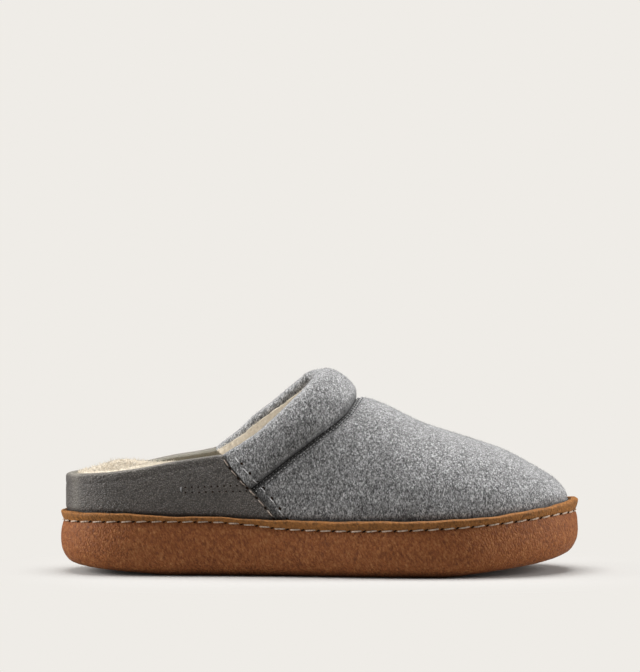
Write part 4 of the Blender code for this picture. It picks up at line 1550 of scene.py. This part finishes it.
class SLIPPER_OT_quarter(SlipperPiece, Operator):
    """Make the leather quarter round the heel, its top edge turned inside"""

    bl_idname = "slipper.quarter"
    bl_label = "Leather quarter"

    def execute(self, context):
        colours = context.scene.slipper_colours
        made = []
        for index in range(-HEEL_RIBS, HEEL_RIBS + 1):
            col = column(index)
            start = distance_to_height(col, float(band_at(col[0][0, 0])) - 1.5 * MM)
            distances = np.linspace(start, col[2][-1], QUARTER_ROWS)
            points = np.array([up_column(col, d)[0] for d in distances])
            away = -np.array([np.interp(d, col[2], FROM_QUARTER[index % COLUMNS]) for d in distances])
            below = (distances[-1] - distances) / MM
            front_edge = 0.4 * MM * np.exp(-away / (1.0 * MM))
            seam_line = 0.3 * MM * bell(away - 1.6 * MM, 0.8 * MM)
            top_line = 0.22 * MM * bell(below - 4.2, 1.0)
            foot_line = 0.8 * MM * bell(distances - start - 1.5 * MM, 1.3 * MM)
            thickness = LEATHER_WALL - front_edge - seam_line - creases(points, LEATHER_CREASES)
            thickness = thickness - top_line - foot_line
            made.append(wrap(col, distances, thickness, QUARTER_RISE, QUARTER_FACING, LEATHER_WALL))
        piece, _ = wrapped("leather_quarter", made)
        rows = grid_place(piece, "row")
        rolled = QUARTER_ROWS + (ROLL_STEPS - 1) / 2
        # A painted sheen in a strip up the heel's back, added to the wear of the rolled edge.
        back = 0.45 * bell(points_of(piece)[:, 0] - 9.5 * MM, 2.6 * MM)
        wear_and_sheen = bell(rows - rolled, 5.0) + back * (rows < rolled)
        set_point_attribute(piece, "wear_and_sheen", np.clip(wear_and_sheen, 0, 1))
        set_point_attribute(piece, "inside", np.clip((rows - rolled) / 4, 0, 1))
        # Painted shade on the leather just above the band.
        set_point_attribute(piece, "foot", 0.95 * shade_above_band(piece, 1.2 * MM))
        dress(piece, leather_material("quarter_leather", colours), "quarter_leather", "quarter")
        return {"FINISHED"}


class SLIPPER_OT_cuff(SlipperPiece, Operator):
    """Make the padded felt cuff, rolled over the mouth's edge"""

    bl_idname = "slipper.cuff"
    bl_label = "Padded cuff"

    def execute(self, context):
        colours = context.scene.slipper_colours
        sizes = context.scene.slipper_sizes
        half = [HEEL_RIBS + 0.2] + list(range(HEEL_RIBS + 1, TOE_COLUMN + 1))
        indices = half + [COLUMNS - i for i in half[-2::-1]]
        ribs = np.array([min(i, COLUMNS - i) for i in indices])
        made = []
        for index, rib_index in zip(indices, ribs):
            share = float(np.interp(rib_index - HEEL_RIBS, np.arange(VAMP_RIBS + 1), VAMP_WAY))
            col = column(index)
            seam = float(np.interp(0.0, *paired(index)))
            distances = np.linspace(seam, col[2][-1], CUFF_OUTER_ROWS)
            way = (distances - distances[0]) / (distances[-1] - distances[0])
            pad = float(pad_at(share))
            thickness = pad * way * (2 - way)
            up_roll = distances - seam
            swell, swell_width = CUFF_SWELL
            dip, dip_width = CUFF_DIP
            thickness = thickness + swell * (1 - np.exp(-up_roll / swell_width)) * (1 - way)
            thickness = thickness - dip * np.exp(-up_roll / dip_width)
            facing_wall = min(CUFF_FACING_WALL, pad + 0.6 * MM)
            facing = float(cuff_facing_at(share)) * FACING_SHOWN
            made.append(wrap(col, distances, thickness, pad, facing, facing_wall))
        piece, outside = wrapped("felt_cuff", made)
        rows = grid_place(piece, "row")
        # Painted shade along the cuff's lower edge, in the groove of its seam.
        set_point_attribute(piece, "painted_shade", 0.75 * bell(rows, 1.6))
        lumps(piece, "cuff_lumps", 16 * MM, 0.5 * MM)
        dress(piece, felt_material("cuff_felt", colours), "cuff_felt", "collar_cuff")
        rows = (2, CUFF_OUTER_ROWS + ROLL_STEPS + FACING_ROWS - 2)
        nap_on("cuff", outside, rows, sizes.nap_count // 2, 21, "cuff_felt")
        return {"FINISHED"}


def paired(index):
    """Distances from the cuff's seam up a column and distances walked, for reading one by the other."""
    low = int(math.floor(index))
    part = index - low
    a, b = low % COLUMNS, (low + 1) % COLUMNS
    return FROM_CUFF[a] * (1 - part) + FROM_CUFF[b] * part, column(index)[2]


class SLIPPER_OT_seams(SlipperPiece, Operator):
    """Sew the quarter and the cuff: stitches, needle holes and the dotted rows of the quarter"""

    bl_idname = "slipper.seams"
    bl_label = "Seams"

    def execute(self, context):
        sizes = context.scene.slipper_sizes
        colours = context.scene.slipper_colours
        thread = thread_material("seam_thread", tuple(colours.seam_thread))
        grey_thread = thread_material("grey_thread", shaded(tuple(colours.felt), 1.4))
        pale_thread = thread_material("pale_thread", shaded(tuple(colours.felt), 2.9))
        leather = trees_of("leather_quarter")
        felt = trees_of("felt_upper", "felt_cuff")
        for side in ("outer", "inner"):
            for kind, offset, holes_at, trees, colour, slot in (
                ("leather", LEATHER_THREAD_AT, LEATHER_THREAD_AT, leather, thread, "quarter_leather"),
                ("felt", FELT_THREAD_AT, FELT_HOLES_AT, felt, pale_thread, "wool_felt"),
            ):
                line, out = laid_on(trees, *self.beside_quarter(side, offset))
                run = stitched(f"{kind}_stitches_{side}", line, out, sizes.seam_pitch,
                               sizes.seam_pitch * SEAM_COVER, sizes.seam_thread, 0.25 * MM,
                               slant=SEAM_SLANT)
                dress(run, colour, slot)
                line, out = laid_on(trees, *self.beside_quarter(side, holes_at))
                dots = holes(f"{kind}_holes_{side}", line, out, sizes.seam_pitch, *SEAM_HOLE,
                             lift=0.25 * MM)
                dress(dots, hole_material(), slot)
            self.dotted_rows(side, leather, grey_thread)
        # Dark runs under the cuff's pale stitches, standing in for the shade in the grooves of the sewn
        # rows.
        dark = thread_material("cuff_groove_shade", shaded(tuple(colours.felt), 0.12))
        self.cuff_rows(thread_material("cuff_thread", shaded(tuple(colours.felt), 2.6)), dark)
        return {"FINISHED"}

    def beside_quarter(self, side, offset):
        """The line up the wall at an offset from the leather's front edge, and its normals."""
        if side == "outer":
            columns = np.arange(0, TOE_COLUMN)
        else:
            columns = np.arange(TOE_COLUMN + 1, COLUMNS)
        line = []
        for row in range(2, GRID.shape[1]):
            away = FROM_QUARTER[columns, row]
            order = columns[np.argsort(away)]
            away = np.sort(away)
            both = np.hstack([GRID[order, row], NORMAL[order, row]])
            line.append(read_along(both, away, offset))
        line = np.array(line)
        clear = line[:, 2] > foot_at(line[:, 0]) + band_at(line[:, 0]) + 0.5 * MM
        line = even_line(line[clear], 1 * MM)
        return line[:, :3], unit(line[:, 3:])

    def dotted_rows(self, side, trees, thread):
        """The quarter's two rows of pinholes and the bar of thread at their end."""
        outward = np.array([0.0, -1.0 if side == "outer" else 1.0, 0.0])
        for number, (start, low, end, high) in enumerate(DOTTED_ROWS + (THREAD_BAR,)):
            share = np.linspace(0, 1, 40)[:, None]
            first = np.array([start * SHOE_LENGTH, 0.0, low * MM])
            last = np.array([end * SHOE_LENGTH, 0.0, high * MM])
            line = first + (last - first) * share
            line[:, 1] = sideways(FOOT_OUTER if side == "outer" else FOOT_INNER, line[:, 0])
            line, out = laid_on(trees, line, np.repeat(outward[None], len(line), axis=0))
            if number < len(DOTTED_ROWS):
                dots = holes(f"pinholes_{side}_{number}", line, out, PINHOLE_PITCH, *PINHOLE,
                             lift=0.08 * MM, phase=0.5)
                dress(dots, hole_material(), "quarter_leather")
            else:
                bar = stitched(f"thread_bar_{side}", line, out, 3.3 * MM, 3.2 * MM, 0.7 * MM,
                               0.15 * MM)
                dress(bar, thread, "quarter_leather")

    def cuff_rows(self, thread, dark):
        """Two fine rows of stitches on the vamp along the cuff's seam, each over a dark run that stands
        in for the shade in its groove.
        """
        trees = trees_of("felt_upper")
        columns = np.arange(HEEL_RIBS + 1, COLUMNS - HEEL_RIBS)
        for number, below in enumerate(CUFF_ROWS_AT):
            line = []
            for index in columns:
                col = column(index)
                line.append(np.concatenate(up_column(col, col[2][SEAM_ROW] - below)))
            line = even_line(np.array(line), 0.8 * MM)
            line, out = laid_on(trees, line[:, :3], unit(line[:, 3:]))
            for kind, length, thickness, lift, material in (
                ("stitches", 1.2 * MM, 0.55 * MM, 0.50 * MM, thread),
                ("groove_shades", 2.2 * MM, 0.60 * MM, 0.25 * MM, dark),
            ):
                row = stitched(f"cuff_{kind}_{number}", line, out, CUFF_ROW_PITCH, length,
                               thickness, lift, slant=CUFF_ROW_SLANTS[number])
                dress(row, material, "wool_felt")


# Inside

def pile_on(piece, sections, first_row, length, lean, curl, seed):
    """Fleece fibres from one row of a piece to its last, their length a share of pile_length."""
    scene = bpy.context.scene
    sizes = scene.slipper_sizes
    rows = (first_row, sections.shape[1] - 1)
    places, normals = scattered(sections, rows, sizes.pile_count, seed)
    pile = fibres(f"{piece}_pile", places, normals, sizes.pile_length * length, PILE_WIDTH,
                  lean, curl, seed + 1)
    cream = tuple(scene.slipper_colours.fleece)
    # The pile's fibres glow with twice the painted glow of the fleece ground.
    material = fibre_material(f"{piece}_fibres", shaded(cream, 0.70), shaded(cream, 0.78), 0.5,
                              2 * PAINTED_PILE_GLOW)
    dress(pile, material, "fleece")


class SLIPPER_OT_footbed(SlipperPiece, Operator):
    """Make the fleece footbed, whose edge rises into a cup round the heel"""

    bl_idname = "slipper.footbed"
    bl_label = "Footbed"

    def execute(self, context):
        colours = context.scene.slipper_colours
        edge = FELT_WALL + SIDE_CLEARANCE
        inside_facing = edge + LEATHER_WALL + SIDE_CLEARANCE
        below_facing = QUARTER_FACING + CUP_TO_FACING
        sections = []
        for index in range(COLUMNS):
            col = column(index)
            foot, outward = up_column(col, 0.0)
            x = foot[0]
            bed = float(thick_at(x))
            mouth = float(mouth_at(x, index > TOE_COLUMN))
            rim = bed + (mouth - bed) * float(cup_at(x))
            rim_distance = distance_to_height(col, rim)
            middle_distance = min(col[2][-1] - below_facing, rim_distance * CUP_MIDDLE)
            low_distance = min(distance_to_height(col, bed), middle_distance * CUP_LOW)
            flat = unit(outward * np.array([1.0, 1.0, 0.0]))
            low, low_normal = up_column(col, low_distance)
            half_up, half_normal = up_column(col, middle_distance)
            high, high_normal = up_column(col, rim_distance)
            base = foot - flat * edge
            seat = high - high_normal * (inside_facing + CUP_WALL + CUP_SLOPE)
            rise = np.array([0.0, 0.0, 1.0])
            out_edge = high - high_normal * inside_facing
            in_edge = high - high_normal * (inside_facing + CUP_WALL)
            lip, _ = up_column(col, col[2][-1])
            fleece_top = fleece_inner if index > TOE_COLUMN else fleece_outer
            crown = max(lip[2] + float(fleece_top(lip[0])) - out_edge[2] - CREST_LEAST, 0.0)
            seat = np.array([seat[0], seat[1], float(foot_at(seat[0]) + thick_at(seat[0]))])
            points = [
                np.array([base[0], base[1], float(foot_at(base[0]))]),
                low - low_normal * edge,
                half_up - half_normal * inside_facing,
                out_edge,
            ]
            for part, of_crown, least in CREST:
                over = rise * (crown * of_crown + least * MM)
                points.append(out_edge * (1 - part) + in_edge * part + over)
            points.append(in_edge)
            drop = in_edge[2] - seat[2]
            for part in DISH_STEPS:
                flat_part = in_edge * (1 - part) + seat * part
                flat_part[2] = in_edge[2] - drop * (1 - (1 - part) ** DISH_POWER)
                points.append(flat_part)
            points.append(seat)
            spine = np.array([np.clip(seat[0], *BED_SPINE), HEEL_Y, 0.0])
            for part in BED_STEPS:
                inner_point = seat * (1 - part) + spine * part
                inner_point[2] = float(foot_at(inner_point[0]) + thick_at(inner_point[0]))
                points.append(inner_point)
            sections.append(points)
        sections = np.array(sections)
        piece = swept("fleece_footbed", sections, True, False, capped=True)
        lumps(piece, "footbed_lumps", 6 * MM, 0.9 * MM)
        dress(piece, fleece_material("fleece", colours), "fleece", "insole")
        pile_on("footbed", sections, 3, 1.0, 0.45, 0.7, 31)
        return {"FINISHED"}


class SLIPPER_OT_lining(SlipperPiece, Operator):
    """Line the inside of the wall with fleece, from under the turned edges to the footbed"""

    bl_idname = "slipper.lining"
    bl_label = "Fleece lining"

    def execute(self, context):
        colours = context.scene.slipper_colours
        sections = []
        for index in range(COLUMNS):
            col = column(index)
            rib_index = min(index, COLUMNS - index)
            lift = 0.0
            if rib_index <= HEEL_RIBS:
                facing = QUARTER_FACING
            else:
                way = VAMP_WAY[rib_index - HEEL_RIBS]
                facing = float(cuff_facing_at(way)) * FACING_SHOWN
                lift = LINING_LIFT * float(pad_at(way)) / CUFF_PAD * (1 - way ** 4)
            x = float(col[0][0, 0])
            low = distance_to_height(col, float(thick_at(x)) * 0.8)
            high = max(col[2][-1] - facing + 0.5 * MM, low + 2 * MM)
            points = []
            below, _ = up_column(col, high - 2 * MM)
            above, _ = up_column(col, high)
            up = unit(above - below)
            for depth, over, share in LINING_TOP:
                point, normal = up_column(col, high + over * MM)
                points.append(point - normal * (FELT_WALL + depth * MM) + up * lift * share)
            for part in np.linspace(0.06, 1, LINING_ROWS):
                point, normal = up_column(col, high + (low - high) * part)
                points.append(point - normal * (FELT_WALL + LINING_DEPTH))
            sections.append(points)
        sections = np.array(sections)
        piece = swept("fleece_lining", sections, True, False)
        lumps(piece, "lining_lumps", 5 * MM, 0.9 * MM)
        dress(piece, fleece_material("lining_fleece", colours), "fleece")
        pile_on("lining", sections, 2, 0.6, 0.6, 0.8, 41)
        return {"FINISHED"}


# Stage

class SLIPPER_OT_stage(SlipperPiece, Operator):
    """Lay the floor, light the slipper softly and set the camera"""

    bl_idname = "slipper.stage"
    bl_label = "Stage"

    def execute(self, context):
        stage = context.scene.slipper_stage
        backdrop = tuple(stage.backdrop)
        self.make_floor(backdrop)
        self.make_world(context, backdrop)
        for name, place, size, power in LIGHTS:
            bpy.ops.object.light_add(type="AREA", location=place)
            light = context.object
            light.name = name
            light.data.shape = "RECTANGLE"
            light.data.size, light.data.size_y = size
            light.data.energy = power
            aim = LIGHTS_AIM - Vector(place)
            light.rotation_euler = aim.to_track_quat("-Z", "Y").to_euler()
        back = stage.camera_distance
        angle = stage.camera_elevation
        bpy.ops.object.camera_add(
            location=(0.0, -back * math.cos(angle), back * math.sin(angle)),
            rotation=(math.pi / 2 - stage.camera_tilt, 0.0, 0.0),
        )
        camera = context.object
        camera.name = "camera"
        camera.data.lens = stage.lens
        camera.data.sensor_width = 36.0
        camera.data.clip_end = 50.0
        context.scene.camera = camera
        context.scene.view_settings.view_transform = "Standard"
        return {"FINISHED"}

    def make_floor(self, backdrop):
        bpy.ops.mesh.primitive_plane_add(size=60.0, location=(0.0, 0.0, 0.0))
        floor = bpy.context.object
        floor.name = "floor"
        material = bpy.data.materials.new("pale_floor")
        material.use_nodes = True
        tree = material.node_tree
        tree.nodes.remove(tree.nodes["Principled BSDF"])
        place = tree.nodes.new("ShaderNodeTexCoord").outputs["Object"]
        axes = new_node(tree, "ShaderNodeSeparateXYZ", _0=place).outputs
        off_middle = math_node(tree, "SUBTRACT", axes[0], PATCH_MIDDLE)
        beyond = math_node(tree, "ABSOLUTE", off_middle)
        beyond = math_node(tree, "SUBTRACT", beyond, PATCH_HALF_LENGTH)
        beyond = math_node(tree, "MAXIMUM", beyond, 0.0)
        squared = plus(tree, times(tree, beyond, beyond), times(tree, axes[1], axes[1]))
        away = math_node(tree, "SUBTRACT", math_node(tree, "SQRT", squared), PATCH_REACH)
        fade = remap(tree, away, *PATCH_FADE)
        matt = new_node(tree, "ShaderNodeBsdfDiffuse", Color=(0.46, 0.45, 0.434, 1.0))
        seen = tree.nodes.new("ShaderNodeLightPath").outputs["Is Camera Ray"]
        strength = plus(tree, times(tree, seen, 0.65), 0.35)
        even = new_node(tree, "ShaderNodeEmission", Color=solid(backdrop), Strength=strength)
        mix = new_node(tree, "ShaderNodeMixShader", _0=fade, _1=matt.outputs[0], _2=even.outputs[0])
        tree.links.new(mix.outputs[0], tree.nodes["Material Output"].inputs["Surface"])
        floor.data.materials.append(material)

    def make_world(self, context, backdrop):
        world = bpy.data.worlds.new("studio")
        context.scene.world = world
        world.use_nodes = True
        tree = world.node_tree
        light = tree.nodes["Background"]
        feed(tree, light, {"Color": (1.0, 0.99, 0.97, 1.0), "Strength": 0.11})
        seen = new_node(tree, "ShaderNodeBackground", Color=solid(backdrop), Strength=1.0)
        ray = tree.nodes.new("ShaderNodeLightPath").outputs["Is Camera Ray"]
        mix = new_node(tree, "ShaderNodeMixShader", _0=ray, _1=light.outputs[0], _2=seen.outputs[0])
        tree.links.new(mix.outputs[0], tree.nodes["World Output"].inputs["Surface"])


PIECES = (
    SLIPPER_OT_outsole,
    SLIPPER_OT_welt,
    SLIPPER_OT_welt_stitches,
    SLIPPER_OT_upper,
    SLIPPER_OT_quarter,
    SLIPPER_OT_cuff,
    SLIPPER_OT_seams,
    SLIPPER_OT_footbed,
    SLIPPER_OT_lining,
    SLIPPER_OT_stage,
)


class SLIPPER_PT_panel(Panel):
    """Lists the slipper's pieces, sizes and colours"""

    bl_idname = "SLIPPER_PT_panel"
    bl_label = "Slipper"
    bl_space_type = "VIEW_3D"
    bl_region_type = "UI"
    bl_category = "Slipper"

    def draw(self, context):
        for piece in PIECES:
            self.layout.operator(piece.bl_idname)
        for group in ("slipper_sizes", "slipper_colours", "slipper_stage"):
            settings = getattr(context.scene, group)
            box = self.layout.box()
            for key in settings.__annotations__:
                box.prop(settings, key)


CLASSES = (SlipperColours, SlipperSizes, SlipperStage) + PIECES + (SLIPPER_PT_panel,)


def register():
    for each in CLASSES:
        bpy.utils.register_class(each)
    bpy.types.Scene.slipper_colours = PointerProperty(type=SlipperColours)
    bpy.types.Scene.slipper_sizes = PointerProperty(type=SlipperSizes)
    bpy.types.Scene.slipper_stage = PointerProperty(type=SlipperStage)


def unregister():
    del bpy.types.Scene.slipper_stage
    del bpy.types.Scene.slipper_sizes
    del bpy.types.Scene.slipper_colours
    for each in reversed(CLASSES):
        bpy.utils.unregister_class(each)


def main():
    register()
    bpy.ops.object.select_all(action="DESELECT")
    for piece in PIECES:
        group, name = piece.bl_idname.split(".")
        getattr(getattr(bpy.ops, group), name)()


if __name__ == "__main__":
    main()
